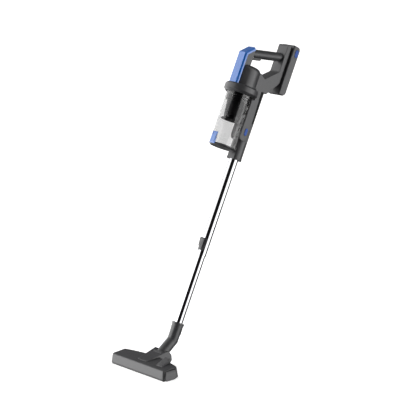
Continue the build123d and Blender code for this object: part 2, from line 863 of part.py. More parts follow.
with BuildPart() as dust_cup:
    add(
        turned(
            cup_axis,
            unit_side,
            (cup_inner, cup_low),
            (cup_radius, cup_low),
            *[point for height in bead_heights for point in cup_bead_points(height)],
            (cup_radius, cup_high),
            (cup_inner, cup_high),
        )
    )
    # The beads stop beside the inlet, so that the cup slides past its seal
    with BuildSketch(cup_level(bead_heights[0] - 2 * cup_bead)):
        with Locations((0, cup_radius)):
            Rectangle(2 * (inlet_radius + seal_depth + run_gap), cup_radius)
        Circle(cup_radius, mode=Mode.SUBTRACT)
    extrude(amount=bead_pitch + 4 * cup_bead, mode=Mode.SUBTRACT)
    # Rear hinge lugs
    with BuildSketch(unit_side):
        with Locations((hinge_back, hinge_high)):
            Circle(hinge_radius)
        polygon(
            (hinge_back, hinge_high - hinge_radius / 4),
            (hinge_back + hinge_radius * 0.8, hinge_high + hinge_radius * 0.6),
            (ear_back - cup_wall, hinge_high + 4 * hinge_radius),
            (ear_back - 4 * cup_wall, hinge_high - hinge_radius / 4),
        )
    extrude(amount=hinge_outer, both=True)
    with BuildSketch(unit_side):
        with Locations((hinge_back + hinge_radius / 2, hinge_high)):
            Rectangle(8 * hinge_radius, 12 * hinge_radius)
    extrude(amount=hinge_inner + run_gap, both=True, mode=Mode.SUBTRACT)
    with BuildSketch(unit_side):
        with Locations((hinge_back, hinge_high)):
            Circle(hinge_pin_radius)
    extrude(amount=2 * hinge_outer, both=True, mode=Mode.SUBTRACT)
    # The cup's own wall again, where the hinge slot cut it
    add(tube(cup_level(cup_low), cup_radius, cup_inner, bead_heights[0] - cup_bead * 2 - cup_low))
    # Ears for the lid latch
    with BuildSketch(unit_side):
        polygon(
            (-ear_back, latch_pin_high - 4 * latch_pin_radius),
            (-latch_pin_front - 2 * latch_pin_radius, latch_pin_high - 2 * latch_pin_radius),
            (-latch_pin_front - 2 * latch_pin_radius, latch_pin_high + 2 * latch_pin_radius),
            (-ear_back, latch_pin_high + 6 * latch_pin_radius),
            (-cup_radius * 0.9, latch_pin_high),
        )
    extrude(amount=latch_half + run_gap + latch_ear, both=True)
    with BuildSketch(unit_side):
        with Locations((-latch_front, latch_pin_high)):
            Rectangle(2 * (latch_front - cup_radius), 40 * latch_pin_radius)
    extrude(amount=latch_half + run_gap, both=True, mode=Mode.SUBTRACT)
    with BuildSketch(unit_side):
        with Locations((-latch_pin_front, latch_pin_high)):
            Circle(latch_pin_radius)
    extrude(amount=2 * latch_half, both=True, mode=Mode.SUBTRACT)
    with BuildSketch(cup_level(cup_low)):
        Circle(cup_inner)
    extrude(amount=cup_high - cup_low, mode=Mode.SUBTRACT)
    # Dust inlet at the back
    with BuildSketch(Plane(origin=cup_foot + up_stick * inlet_high, x_dir=across, z_dir=back_stick)):
        Circle(inlet_radius)
    extrude(amount=2 * cup_radius, mode=Mode.SUBTRACT)
dust_cup.part.label = "dust_cup"
export_step(dust_cup.part, "parts/dust_cup.step")

with BuildPart() as cup_seal:
    add(tube(cup_level(cup_high), cup_radius, cup_inner, web_low - cup_high - run_gap))
cup_seal.part.label = "cup_seal"
export_step(cup_seal.part, "parts/cup_seal.step")

with BuildPart() as hinge_pin:
    with BuildSketch(unit_side):
        with Locations((hinge_back, hinge_high)):
            Circle(hinge_pin_radius)
    extrude(amount=hinge_outer, both=True)
hinge_pin.part.label = "hinge_pin"
export_step(hinge_pin.part, "parts/hinge_pin.step")

with BuildPart() as latch_pin:
    with BuildSketch(unit_side):
        with Locations((-latch_pin_front, latch_pin_high)):
            Circle(latch_pin_radius)
    extrude(amount=latch_half + run_gap + latch_ear, both=True)
latch_pin.part.label = "latch_pin"
export_step(latch_pin.part, "parts/latch_pin.step")

lid_high = cup_low - run_gap
with BuildPart() as cup_lid:
    add(
        turned(
            cup_axis,
            unit_side,
            (0, lid_low),
            (ring_inner, lid_low),
            (ring_inner + ring_deep, lid_low + ring_deep),
            (ring_outer - ring_deep, lid_low + ring_deep),
            (ring_outer, lid_low),
            (lid_rim - lid_edge, lid_low),
            (lid_rim, lid_low + lid_edge),
            (lid_rim, lid_high),
            (0, lid_high),
        )
    )
    with BuildSketch(unit_side):
        with Locations((hinge_back, hinge_high)):
            Circle(hinge_radius)
        polygon(
            (hinge_back, hinge_high - hinge_radius),
            (hinge_back, hinge_high),
            (lid_rim - hinge_radius, lid_high),
            (lid_rim - hinge_radius, lid_high - lid_edge / 2),
        )
    extrude(amount=hinge_inner, both=True)
    # Clear of the cup's lugs, its wall and the hinge pin
    for lug_side in (1, -1):
        with BuildSketch(unit_side.offset(lug_side * hinge_inner)):
            with Locations((hinge_back, hinge_high)):
                Circle(hinge_radius + run_gap)
        extrude(amount=lug_side * (hinge_outer - hinge_inner + run_gap), mode=Mode.SUBTRACT)
    with BuildSketch(cup_level(lid_high)):
        Circle(cup_radius + run_gap)
    extrude(amount=4 * hinge_radius, mode=Mode.SUBTRACT)
    with BuildSketch(unit_side):
        with Locations((hinge_back, hinge_high)):
            Circle(hinge_pin_radius + fit_gap)
    extrude(amount=2 * hinge_inner, both=True, mode=Mode.SUBTRACT)
cup_lid.part.label = "cup_lid"
export_step(cup_lid.part, "parts/cup_lid.step")

with BuildPart() as lid_seal:
    add(tube(cup_level(lid_high), cup_inner - run_gap, cup_inner - 2 * cup_wall, cup_wall))
lid_seal.part.label = "lid_seal"
export_step(lid_seal.part, "parts/lid_seal.step")

with BuildPart() as lid_latch:
    with BuildSketch(unit_side):
        polygon(
            (-lid_rim - run_gap, latch_low),
            (-latch_front + latch_bevel, latch_low),
            (-latch_front, latch_low + 2 * latch_bevel),
            (-latch_front, latch_high - 4 * latch_bevel),
            (-latch_front + latch_bevel, latch_high),
            (-latch_pin_front + 2 * latch_pin_radius, latch_high),
            (-latch_pin_front + 2 * latch_pin_radius, latch_pin_high),
            (-lid_rim - run_gap, latch_pin_high - 4 * latch_pin_radius),
        )
    extrude(amount=latch_half, both=True)
    fillet(lid_latch.edges().filter_by(Axis.X).sort_by(Axis(cup_foot, back_stick))[:3], latch_bevel / 2)
    # Thumb dimple
    dimple_centre = cup_foot - back_stick * latch_front + up_stick * (latch_high + latch_pin_high) / 2
    with BuildSketch(Plane(origin=dimple_centre, x_dir=across, z_dir=-back_stick)):
        Circle(dimple_half)
    extrude(amount=-dimple_deep, mode=Mode.SUBTRACT)
    with BuildSketch(unit_side):
        with Locations((-latch_pin_front, latch_pin_high)):
            Circle(latch_pin_radius + fit_gap)
    extrude(amount=2 * latch_half, both=True, mode=Mode.SUBTRACT)
lid_latch.part.label = "lid_latch"
export_step(lid_latch.part, "parts/lid_latch.step")

# Cyclone shroud: a slotted cone with a skirt
with BuildPart() as cyclone_shroud:
    shroud_top = web_low - seat_gap
    add(
        turned(
            cup_axis,
            unit_side,
            (shroud_top_radius - shroud_wall, shroud_top),
            (shroud_drum_radius, shroud_top),
            (shroud_drum_radius, shroud_drum_low + shroud_wall),
            (shroud_drum_radius - shroud_wall, shroud_drum_low),
            (shroud_top_radius, shroud_drum_low),
            (shroud_low_radius, shroud_low),
            (skirt_radius, shroud_low - skirt_drop + shroud_wall),
            (skirt_radius, shroud_low - skirt_drop),
            (shroud_low_radius, shroud_low - shroud_wall),
            (0, shroud_low - shroud_wall),
            (0, shroud_low),
            (shroud_low_radius - shroud_wall, shroud_low + shroud_wall),
            (shroud_top_radius - shroud_wall, shroud_drum_low),
        )
    )
    slot_start = shroud_low + skirt_drop * 2
    with BuildSketch(cup_level(slot_start)):
        with PolarLocations((shroud_top_radius + shroud_low_radius) / 2, shroud_slots):
            Rectangle(5 * shroud_wall, slot_width)
    extrude(amount=shroud_drum_low - slot_start - skirt_drop, mode=Mode.SUBTRACT)
cyclone_shroud.part.label = "cyclone_shroud"
export_step(cyclone_shroud.part, "parts/cyclone_shroud.step")

# Collar ring and motor housing
with BuildPart() as collar_ring:
    add(
        turned(
            cup_axis,
            unit_side,
            (cup_radius + run_gap, collar_low),
            (collar_mouth, collar_low),
            (collar_radius, collar_low + collar_radius - collar_mouth),
            (collar_radius, collar_high - collar_bevel),
            (collar_radius - collar_bevel, collar_high),
            (housing_radius + seat_gap, collar_high),
            (housing_radius + seat_gap, web_high),
            (web_radius, web_high),
            (web_radius, web_low),
            (cup_radius + run_gap, web_low),
        )
    )
collar_ring.part.label = "collar_ring"
export_step(collar_ring.part, "parts/collar_ring.step")

housing_low = web_high + seat_gap


def housing_form(grow, low):
    """The motor housing's domed form, larger or smaller all round."""
    radius = housing_radius + grow
    top = housing_high + grow
    bend = housing_round + grow
    with BuildPart() as form:
        with BuildSketch(unit_side):
            with BuildLine():
                Polyline((0, top), (0, low), (radius, low), (radius, top - bend))
                RadiusArc((radius, top - bend), (radius - bend, top), -bend)
                Line((radius - bend, top), (0, top))
            make_face()
        revolve(axis=cup_axis)
    return form.part


with BuildPart() as motor_housing:
    add(housing_form(0, housing_low))
    add(housing_form(-housing_wall, housing_low), mode=Mode.SUBTRACT)
    # Exhaust slots on the user's right
    vent_length = housing_high - collar_high - 2 * housing_round - 2 * vent_width
    with BuildSketch(Plane(origin=cup_foot, x_dir=back_stick, z_dir=-across)):
        with Locations((0, -(collar_high + housing_high) / 2)):
            with GridLocations(vent_pitch, vent_pitch, vent_count, 1):
                SlotOverall(vent_length, vent_width, rotation=90)
    extrude(amount=2 * housing_radius, mode=Mode.SUBTRACT)
motor_housing.part.label = "motor_housing"
export_step(motor_housing.part, "parts/motor_housing.step")

# Space that the collar and the housing take, for the pieces that fit against them
with BuildPart() as core_space:
    with BuildSketch(cup_level(collar_low - seat_gap)):
        Circle(collar_radius + seat_gap)
    extrude(amount=collar_high - collar_low + 2 * seat_gap)
    add(housing_form(seat_gap, collar_high))

# Filter, motor and rotor
filter_low = web_high + seat_gap
with BuildPart() as pleated_filter:
    with BuildSketch(cup_level(filter_low)):
        pleats = []
        for pleat in range(2 * pleat_count):
            pleat_radius = filter_radius if pleat % 2 else filter_valley
            pleat_angle = pi * pleat / pleat_count
            pleats.append((pleat_radius * cos(pleat_angle), pleat_radius * sin(pleat_angle)))
        polygon(*pleats)
        Circle(filter_core, mode=Mode.SUBTRACT)
    extrude(amount=filter_height)
pleated_filter.part.label = "pleated_filter"
export_step(pleated_filter.part, "parts/pleated_filter.step")

frame_top = filter_low + filter_height
with BuildPart() as filter_frame:
    add(tube(cup_level(filter_low), filter_core - seat_gap, filter_core - filter_rim, filter_height))
    with BuildSketch(cup_level(frame_top)):
        Circle(filter_radius)
        Circle(filter_core - filter_rim, mode=Mode.SUBTRACT)
    extrude(amount=filter_rim)
filter_frame.part.label = "filter_frame"
export_step(filter_frame.part, "parts/filter_frame.step")

with BuildPart() as motor_can:
    add(tube(cup_level(motor_low), motor_radius, shaft_radius + fit_gap, motor_high - motor_low))
    fillet(motor_can.faces().sort_by(Axis(cup_foot, up_stick))[-1].outer_wire().edges(), motor_round)
motor_can.part.label = "motor_can"
export_step(motor_can.part, "parts/motor_can.step")

with BuildPart() as motor_seat:
    seat_low = (motor_low + motor_high) / 2
    seat_outer = housing_radius - housing_wall - seat_gap
    add(tube(cup_level(seat_low), seat_outer, motor_radius + seat_gap, seat_ring_height))
motor_seat.part.label = "motor_seat"
export_step(motor_seat.part, "parts/motor_seat.step")

impeller_low = motor_low - impeller_height - impeller_gap
with BuildPart() as rotor:
    with BuildSketch(cup_level(impeller_low)):
        Circle(shaft_radius)
    extrude(amount=motor_high - impeller_low)
    with BuildSketch(cup_level(impeller_low)):
        Circle(impeller_radius)
    extrude(amount=impeller_height / 4)
    with BuildSketch(cup_level(impeller_low)):
        with PolarLocations((impeller_radius + 3 * shaft_radius) / 2, blade_count):
            Rectangle(blade_long, blade_wall, rotation=blade_turn)
    extrude(amount=impeller_height)
    with BuildSketch(cup_level(impeller_low)):
        Circle(3 * shaft_radius)
    extrude(amount=impeller_height)
rotor.part.label = "rotor"
export_step(rotor.part, "parts/rotor.step")

# Wand socket column behind the cup
socket_bore = upper_tube_radius + socket_bore_gap
flat_x = frame_half - frame_wall
panel_high = socket_high + 2 * frame_wall
button_top = frame_half + button_proud
button_base = button_top - button_depth
strip_groove = socket_radius - strip_wall


def panel_outline(plane, margin):
    """The frame's side panel beside the socket, rounded at its lower tip."""
    with BuildSketch(plane) as panel:
        with Locations(((panel_front + panel_back) / 2, (panel_low + panel_high) / 2)):
            Rectangle(panel_back - panel_front + 2 * margin, panel_high - panel_low + 2 * margin)
        fillet(panel.vertices().group_by(Axis.Y)[0], panel_round)
    return panel.sketch


with BuildPart() as rear_strip_space:
    add(tube(wand_level(cover_strip_low), 2 * socket_radius, strip_groove, cover_strip_long))
    extrude(
        wedge(wand_level(cover_strip_low), 1, strip_spread, 3 * socket_radius),
        amount=cover_strip_long,
        mode=Mode.INTERSECT,
    )

with BuildPart() as wand_socket:
    with BuildSketch(wand_level(0)):
        Circle(socket_radius)
    extrude(amount=socket_high)
    with BuildSketch(wand_level(0)):
        Circle(socket_radius + socket_lip)
    extrude(amount=socket_lip_height)
    # Sides cut flat where the frame's panels lie
    for flat_side in (1, -1):
        extrude(
            panel_outline(unit_side.offset(flat_side * (flat_x - seat_gap)), seat_gap),
            amount=flat_side * socket_radius,
            mode=Mode.SUBTRACT,
        )
        with BuildSketch(unit_side.offset(flat_side * frame_half)):
            with Locations((cup_offset, (panel_low + socket_high) / 2)):
                Rectangle(4 * socket_radius, socket_high - panel_low)
        extrude(amount=flat_side * socket_radius, mode=Mode.SUBTRACT)
    # Front cut back beside the lid hinge
    with BuildSketch(wand_side):
        with Locations((-2 * socket_flat, 0)):
            Rectangle(2 * socket_flat, 2 * (hinge_high + 5 * hinge_radius))
    extrude(amount=2 * socket_radius, both=True, mode=Mode.SUBTRACT)
    # Bore for the wand, groove for its seal, air duct and its way into the cup
    with BuildSketch(wand_level(0)):
        Circle(socket_bore)
    extrude(amount=wand_seat, mode=Mode.SUBTRACT)
    with BuildSketch(wand_level(wand_seat - 3 * seal_height)):
        Circle(socket_bore + seal_depth)
    extrude(amount=seal_height, mode=Mode.SUBTRACT)
    with BuildSketch(wand_level(wand_seat)):
        Circle(duct_radius)
    extrude(amount=inlet_high + inlet_radius + seal_height - wand_seat, mode=Mode.SUBTRACT)
    with BuildSketch(Plane(origin=socket_end + up_stick * inlet_high, x_dir=across, z_dir=-back_stick)):
        Circle(inlet_radius)
    extrude(amount=2 * socket_radius, mode=Mode.SUBTRACT)
    # Pocket of the release button
    with BuildSketch(unit_side.offset(button_base - button_travel - run_gap)):
        with Locations((button_back, button_high)):
            SlotOverall(button_long + 2 * run_gap, button_wide + 2 * run_gap, rotation=90)
    extrude(amount=2 * socket_radius, mode=Mode.SUBTRACT)
    add(rear_strip_space.part, mode=Mode.SUBTRACT)
    add(core_space.part, mode=Mode.SUBTRACT)
wand_socket.part.label = "wand_socket"
export_step(wand_socket.part, "parts/wand_socket.step")

with BuildPart() as socket_seal:
    seal_base = wand_level(wand_seat - 3 * seal_height)
    add(tube(seal_base, socket_bore + seal_depth, socket_bore, seal_height))
socket_seal.part.label = "socket_seal"
export_step(socket_seal.part, "parts/socket_seal.step")

with BuildPart() as inlet_seal:
    with BuildSketch(Plane(origin=cup_foot + up_stick * inlet_high, x_dir=across, z_dir=back_stick)):
        Circle(inlet_radius + seal_depth)
        Circle(inlet_radius, mode=Mode.SUBTRACT)
    extrude(amount=cup_offset)
    with BuildSketch(cup_level(0)):
        Circle(cup_radius + run_gap)
    extrude(amount=2 * inlet_high, mode=Mode.SUBTRACT)
    with BuildSketch(wand_level(0)):
        Circle(socket_radius + seat_gap)
    extrude(amount=2 * inlet_high, mode=Mode.SUBTRACT)
inlet_seal.part.label = "inlet_seal"
export_step(inlet_seal.part, "parts/inlet_seal.step")

# Strip down the back of the socket, with two grooves along it
with BuildPart() as rear_strip:
    add(tube(wand_level(cover_strip_low + seat_gap), socket_radius, strip_groove + seat_gap,
             cover_strip_long - 2 * seat_gap))
    extrude(
        wedge(wand_level(cover_strip_low), 1, strip_spread - strip_play, 3 * socket_radius),
        amount=cover_strip_long,
        mode=Mode.INTERSECT,
    )
    with BuildSketch(wand_level(cover_strip_low)):
        with Locations((-strip_groove / 4, socket_radius), (strip_groove / 4, socket_radius)):
            Rectangle(strip_wall, strip_wall)
    extrude(amount=cover_strip_long, mode=Mode.SUBTRACT)
rear_strip.part.label = "rear_strip"
export_step(rear_strip.part, "parts/rear_strip.step")

# Grip line, from the spine to the back plate
grip_front_end = cup_foot + back_stick * spine_back + up_stick * grip_front_high
grip_back_end = cup_foot + back_stick * plate_front + up_stick * grip_back_high
grip_line = grip_back_end - grip_front_end
grip_length = grip_line.length
along_grip = grip_line.normalized()
grip_side = Plane(origin=grip_front_end, x_dir=along_grip, z_dir=across)


# Handle frame: two halves of a hollow arm with a flat panel down the socket's side
def arm_outline(inset):
    with BuildSketch(unit_side) as arm:
        polygon(
            (housing_radius * 0.7, socket_high + seat_gap),
            (cup_offset + socket_radius, socket_high + seat_gap),
            (plate_back, arm_low_back),
            (plate_back, plate_high),
            (plate_front, plate_high),
            (plate_front, loop_corner_high),
            (notch_back, notch_high),
            (apex_back, apex_high),
            (housing_radius * 0.7, apex_high),
        )
        fillet(arm.vertices().sort_by_distance((plate_back, arm_low_back))[0], arm_round)
        fillet(arm.vertices().sort_by_distance((plate_front, loop_corner_high))[0], arm_round / 2)
        fillet(arm.vertices().sort_by_distance((plate_front, plate_high))[0], plate_round)
        fillet(arm.vertices().sort_by_distance((plate_back, plate_high))[0], plate_round)
        fillet(arm.vertices().sort_by_distance((notch_back, notch_high))[0], fillet_small)
        if inset:
            offset(amount=-inset)
    return arm.sketch


screw_places = (
    (cup_offset + socket_radius / 4, socket_high + 3 * screw_boss),
    ((plate_front + plate_back) / 2, loop_corner_high),
    ((plate_front + plate_back) / 2, plate_high - 3 * screw_boss),
)
terminal_high = (grip_back_high + loop_corner_high) / 2
for half_name, half_side in (("left", 1), ("right", -1)):
    with BuildPart() as frame_shell:
        extrude(arm_outline(0), amount=half_side * frame_half)
        extrude(panel_outline(unit_side.offset(half_side * flat_x), 0), amount=half_side * frame_wall)
        extrude(arm_outline(frame_wall), amount=half_side * flat_x, mode=Mode.SUBTRACT)
        with BuildSketch(unit_side):
            with Locations(*screw_places):
                Circle(screw_boss)
        extrude(amount=half_side * frame_half)
        side_face = frame_shell.faces().sort_by(Axis.X)[-1 if half_side > 0 else 0]
        chamfer(side_face.outer_wire().edges(), edge_break)
        with BuildSketch(unit_side.offset(-screw_reach)):
            with Locations(*screw_places):
                Circle(screw_radius + seat_gap)
        extrude(amount=screw_reach * 2, mode=Mode.SUBTRACT)
        if half_side < 0:
            with BuildSketch(unit_side):
                with Locations(*screw_places):
                    Circle(screw_radius + seat_gap)
            extrude(amount=-frame_half, mode=Mode.SUBTRACT)
        # Window for the battery terminals in the back plate
        with BuildSketch(unit_side):
            with Locations((plate_back, terminal_high)):
                Rectangle(4 * frame_wall, terminal_tall + 2 * seat_gap)
        extrude(amount=half_side * (terminal_half + seat_gap), mode=Mode.SUBTRACT)
        if half_side > 0:
            with BuildSketch(unit_side):
                with Locations((button_back, button_high)):
                    SlotOverall(button_long + 2 * run_gap, button_wide + 2 * run_gap, rotation=90)
            extrude(amount=2 * frame_half, mode=Mode.SUBTRACT)
        add(core_space.part, mode=Mode.SUBTRACT)
    frame_shell.part.label = f"frame_{half_name}"
    export_step(frame_shell.part, f"parts/frame_{half_name}.step")

with BuildPart() as frame_screws:
    with BuildSketch(unit_side.offset(-frame_half + edge_break)):
        with Locations(*screw_places):
            Circle(screw_radius)
    extrude(amount=frame_half - edge_break + screw_reach - seat_gap)
    with BuildSketch(unit_side.offset(-frame_half)):
        with Locations(*screw_places):
            RegularPolygon(screw_hex, 6)
    extrude(amount=3 * edge_break, mode=Mode.SUBTRACT)
frame_screws.part.label = "frame_screws"
export_step(frame_screws.part, "parts/frame_screws.step")

with BuildPart() as battery_terminals:
    with BuildSketch(unit_side):
        with Locations((plate_back - 1.5 * frame_wall, terminal_high)):
            Rectangle(3 * frame_wall, terminal_tall)
    extrude(amount=terminal_half, both=True)
battery_terminals.part.label = "battery_terminals"
export_step(battery_terminals.part, "parts/battery_terminals.step")

with BuildPart() as control_board:
    board_back = (notch_back + plate_back) / 2 - board_wide / 3
    with BuildSketch(unit_side.offset(screw_boss)):
        with Locations((board_back, (socket_high + loop_corner_high) / 2)):
            Rectangle(board_long, board_wide, rotation=board_turn)
    extrude(amount=board_wall)
control_board.part.label = "control_board"
export_step(control_board.part, "parts/control_board.step")


# Spine: a blue cover folded over the front and the slanted top of a post
def spine_line(depth):
    """Foot, shoulder and top of the spine's outside, drawn in by depth."""
    rise = spine_top_high - spine_shoulder
    run = spine_front + spine_top_back
    slant = sqrt(rise**2 + run**2)
    front = depth - spine_front
    shoulder = spine_shoulder - depth * (slant - rise) / run
    top_back = min(spine_top_back + depth * rise / slant, spine_back - seat_gap)
    top_high = shoulder + (top_back - front) * rise / run
    return [(front, collar_high + seat_gap), (front, shoulder), (top_back, top_high)]


def spine_block(depth, side, back_line):
    """A chamfered solid behind the spine's outside, drawn in by depth in front and by side at its sides."""
    rise = up_stick * (spine_top_high - spine_shoulder)
    run = back_stick * (spine_front + spine_top_back)
    slant_out = up_stick * run.length - back_stick * rise.length
    with BuildPart() as block:
        with BuildSketch(unit_side):
            polygon(*spine_line(depth), *back_line)
        extrude(amount=spine_half - side, both=True)
        front_face = block.faces().sort_by(Axis(cup_foot, back_stick))[0]
        slant_face = block.faces().sort_by(Axis(cup_foot, slant_out))[-1]
        ridge = front_face.edges().filter_by(Axis(cup_foot, up_stick))
        ridge += slant_face.edges().filter_by(Axis(cup_foot, rise + run))
        chamfer(ridge, cover_chamfer)
        add(core_space.part, mode=Mode.SUBTRACT)
    return block.part


def post_block(depth, side):
    """The post under the cover, from the collar up to the grip."""
    post_back = spine_back - seat_gap
    back_line = (
        (post_back, spine_line(depth)[2][1]),
        (post_back, housing_high - 2 * housing_round),
        (post_back - housing_round, collar_high + seat_gap),
    )
    return spine_block(depth, side, back_line)


with BuildPart() as spine_frame:
    add(post_block(cover_wall + seat_gap, cover_side + seat_gap))
    # Way for the wires from the grip
    with BuildSketch(grip_side):
        Rectangle(2 * grip_bore, grip_bore)
    extrude(amount=grip_bore / 2, both=True, mode=Mode.SUBTRACT)
spine_frame.part.label = "spine_frame"
export_step(spine_frame.part, "parts/spine_frame.step")

with BuildPart() as spine_cover:
    add(spine_block(0, 0, reversed(spine_line(cover_wall + cover_flange))))
    add(post_block(cover_wall, cover_side), mode=Mode.SUBTRACT)
spine_cover.part.label = "spine_cover"
export_step(spine_cover.part, "parts/spine_cover.step")

# Grip, trigger and switch
trigger_pin_along = trigger_start + 2 * trigger_pin_radius
trigger_pin_deep = -grip_radius + 3 * trigger_pin_radius
trigger_end = trigger_start + trigger_length
trigger_low = -grip_radius - trigger_proud
with BuildPart() as grip:
    with BuildSketch(square_to(along_grip, grip_front_end, -grip_radius)):
        Circle(grip_radius)
        Circle(grip_bore, mode=Mode.SUBTRACT)
    extrude(amount=grip_length + 2 * grip_radius)
    with BuildSketch(unit_side):
        with Locations(((spine_back + plate_front) / 2, grip_back_high)):
            Rectangle(plate_front - spine_back - 2 * seat_gap, 4 * grip_length)
    extrude(amount=2 * grip_radius, both=True, mode=Mode.INTERSECT)
    with BuildSketch(grip_side):
        with Locations(((trigger_start + trigger_end) / 2, -grip_radius)):
            Rectangle(trigger_length + 4 * run_gap, grip_radius)
    extrude(amount=trigger_half + run_gap, both=True, mode=Mode.SUBTRACT)
    with BuildSketch(grip_side):
        with Locations((trigger_pin_along, trigger_pin_deep)):
            Circle(trigger_pin_radius)
    extrude(amount=2 * grip_radius, both=True, mode=Mode.SUBTRACT)
grip.part.label = "grip"
export_step(grip.part, "parts/grip.step")

with BuildPart() as trigger:
    with BuildSketch(grip_side):
        polygon(
            (trigger_start, trigger_pin_deep + 2 * trigger_pin_radius),
            (trigger_start, -grip_radius - edge_break),
            (trigger_start + trigger_length / 4, trigger_low),
            (trigger_end - trigger_length / 8, trigger_low),
            (trigger_end, trigger_low + trigger_proud / 2),
            (trigger_end, trigger_pin_deep + 2 * trigger_pin_radius),
        )
    extrude(amount=trigger_half, both=True)
    fillet(trigger.faces().sort_by(Axis(grip_front_end, up_stick))[0].edges(), edge_break)
    with BuildSketch(grip_side):
        with Locations((trigger_pin_along, trigger_pin_deep)):
            Circle(trigger_pin_radius + fit_gap)
    extrude(amount=2 * trigger_half, both=True, mode=Mode.SUBTRACT)
trigger.part.label = "trigger"
export_step(trigger.part, "parts/trigger.step")

with BuildPart() as trigger_pin:
    with BuildSketch(grip_side):
        with Locations((trigger_pin_along, trigger_pin_deep)):
            Circle(trigger_pin_radius)
    extrude(amount=trigger_half + trigger_pin_radius, both=True)
trigger_pin.part.label = "trigger_pin"
export_step(trigger_pin.part, "parts/trigger_pin.step")

with BuildPart() as power_switch:
    with BuildSketch(grip_side):
        with Locations((trigger_end - switch_long, switch_tall / 3)):
            Rectangle(switch_long, switch_tall)
    extrude(amount=switch_half, both=True)
power_switch.part.label = "power_switch"
export_step(power_switch.part, "parts/power_switch.step")

with BuildPart() as wand_button:
    with BuildSketch(unit_side.offset(button_base)):
        with Locations((button_back, button_high)):
            SlotOverall(button_long, button_wide, rotation=90)
    extrude(amount=button_depth)
    fillet(wand_button.faces().sort_by(Axis.X)[-1].edges(), edge_break)
wand_button.part.label = "wand_button"
export_step(wand_button.part, "parts/wand_button.step")

# Battery: a slab behind the back plate
rail_front = plate_back + run_gap
battery_front = rail_front + rail_depth
battery_back = battery_front + battery_thick
battery_seam = battery_front + battery_split
release_back = battery_front + release_behind


def battery_block(inset):
    """The battery's rounded outer form, drawn in by inset."""
    with BuildPart() as block:
        with BuildSketch(unit_side) as slab:
            with Locations(((battery_front + battery_back) / 2, (battery_low + battery_high) / 2)):
                Rectangle(battery_thick - 2 * inset, battery_high - battery_low - 2 * inset)
            back_corners = slab.vertices().group_by(Axis.X)[-1].sort_by(Axis.Y)
            fillet(back_corners[0], battery_foot_round - inset)
            top_corner = slab.vertices().sort_by_distance((battery_back, battery_high))[0]
            fillet(top_corner, battery_top_round - inset)
        extrude(amount=battery_half - inset, both=True)
        side_edges = block.faces().sort_by(Axis.X)[0].edges() + block.faces().sort_by(Axis.X)[-1].edges()
        fillet(side_edges, battery_edge - inset)
    return block.part


def half_of_battery(form, front):
    """The front or back half of a battery form, split at its seam."""
    with BuildPart() as half:
        add(form)
        with BuildSketch(unit_side):
            away = battery_thick + seat_gap / 2
            with Locations((battery_seam - away if front else battery_seam + away, battery_high)):
                Rectangle(2 * battery_thick, 4 * battery_high)
        extrude(amount=2 * battery_half, both=True, mode=Mode.INTERSECT)
    return half.part


battery_outer = battery_block(0)
battery_inner = battery_block(battery_wall)
jack_back = battery_seam + jack_radius + 2 * jack_wall
jack_plane = square_to(up_stick, cup_foot + back_stick * jack_back, battery_low)
with BuildPart() as battery_front_case:
    add(half_of_battery(battery_outer, True))
    add(battery_inner, mode=Mode.SUBTRACT)
    # Rail that seats against the frame's back plate
    rail_thick = rail_depth + battery_wall / 2
    with BuildSketch(unit_side):
        with Locations((rail_front + rail_thick / 2, (arm_low_back + plate_high) / 2)):
            Rectangle(rail_thick, plate_high - arm_low_back - 2 * rail_inset)
    extrude(amount=frame_half - rail_inset, both=True)
battery_front_case.part.label = "battery_front_case"
export_step(battery_front_case.part, "parts/battery_front_case.step")

with BuildPart() as battery_back_case:
    add(half_of_battery(battery_outer, False))
    add(battery_inner, mode=Mode.SUBTRACT)
    with BuildSketch(unit_side):
        with Locations((release_back, release_high)):
            SlotOverall(release_long + 2 * run_gap, release_wide + 2 * run_gap, rotation=90)
    extrude(amount=2 * battery_half, both=True, mode=Mode.SUBTRACT)
    with BuildSketch(jack_plane):
        Circle(jack_radius + jack_wall + seat_gap)
    extrude(amount=jack_length / 2, mode=Mode.SUBTRACT)
battery_back_case.part.label = "battery_back_case"
export_step(battery_back_case.part, "parts/battery_back_case.step")

with BuildPart() as charge_jack:
    add(tube(jack_plane, jack_radius + jack_wall, jack_radius, jack_length))
    with BuildSketch(jack_plane.offset(jack_length)):
        Circle(jack_radius + jack_wall)
    extrude(amount=jack_wall / 2)
charge_jack.part.label = "charge_jack"
export_step(charge_jack.part, "parts/charge_jack.step")

cell_start = battery_low + battery_wall + jack_length
with BuildPart() as battery_cells:
    for row in range(cell_rows):
        cell_foot = cup_foot + back_stick * (battery_front + battery_wall + cell_radius + cell_gap)
        cell_height = cell_start + row * (cell_length + cell_gap)
        with BuildSketch(square_to(up_stick, cell_foot, cell_height)):
            with GridLocations(2 * cell_radius + cell_gap, cell_radius, cell_columns, 1):
                Circle(cell_radius)
        extrude(amount=cell_length)
battery_cells.part.label = "battery_cells"
export_step(battery_cells.part, "parts/battery_cells.step")

with BuildPart() as battery_board:
    with BuildSketch(unit_side):
        with Locations((battery_back - battery_wall - 2 * board_wall, (battery_low + battery_high) / 2)):
            Rectangle(board_wall, battery_high - battery_low - 2 * board_long)
    extrude(amount=board_wide, both=True)
battery_board.part.label = "battery_board"
export_step(battery_board.part, "parts/battery_board.step")

for release_name, release_side in (("left", 1), ("right", -1)):
    release_plane = unit_side.offset(release_side * (battery_half + release_proud))
    with BuildPart() as battery_button:
        with BuildSketch(release_plane):
            with Locations((release_back, release_high)):
                SlotOverall(release_long, release_wide, rotation=90)
        extrude(amount=-release_side * (release_proud + battery_wall + edge_break))
        outer_face = battery_button.faces().sort_by(Axis.X)[-1 if release_side > 0 else 0]
        fillet(outer_face.edges(), edge_break)
    battery_button.part.label = f"battery_button_{release_name}"
    export_step(battery_button.part, f"parts/battery_button_{release_name}.step")
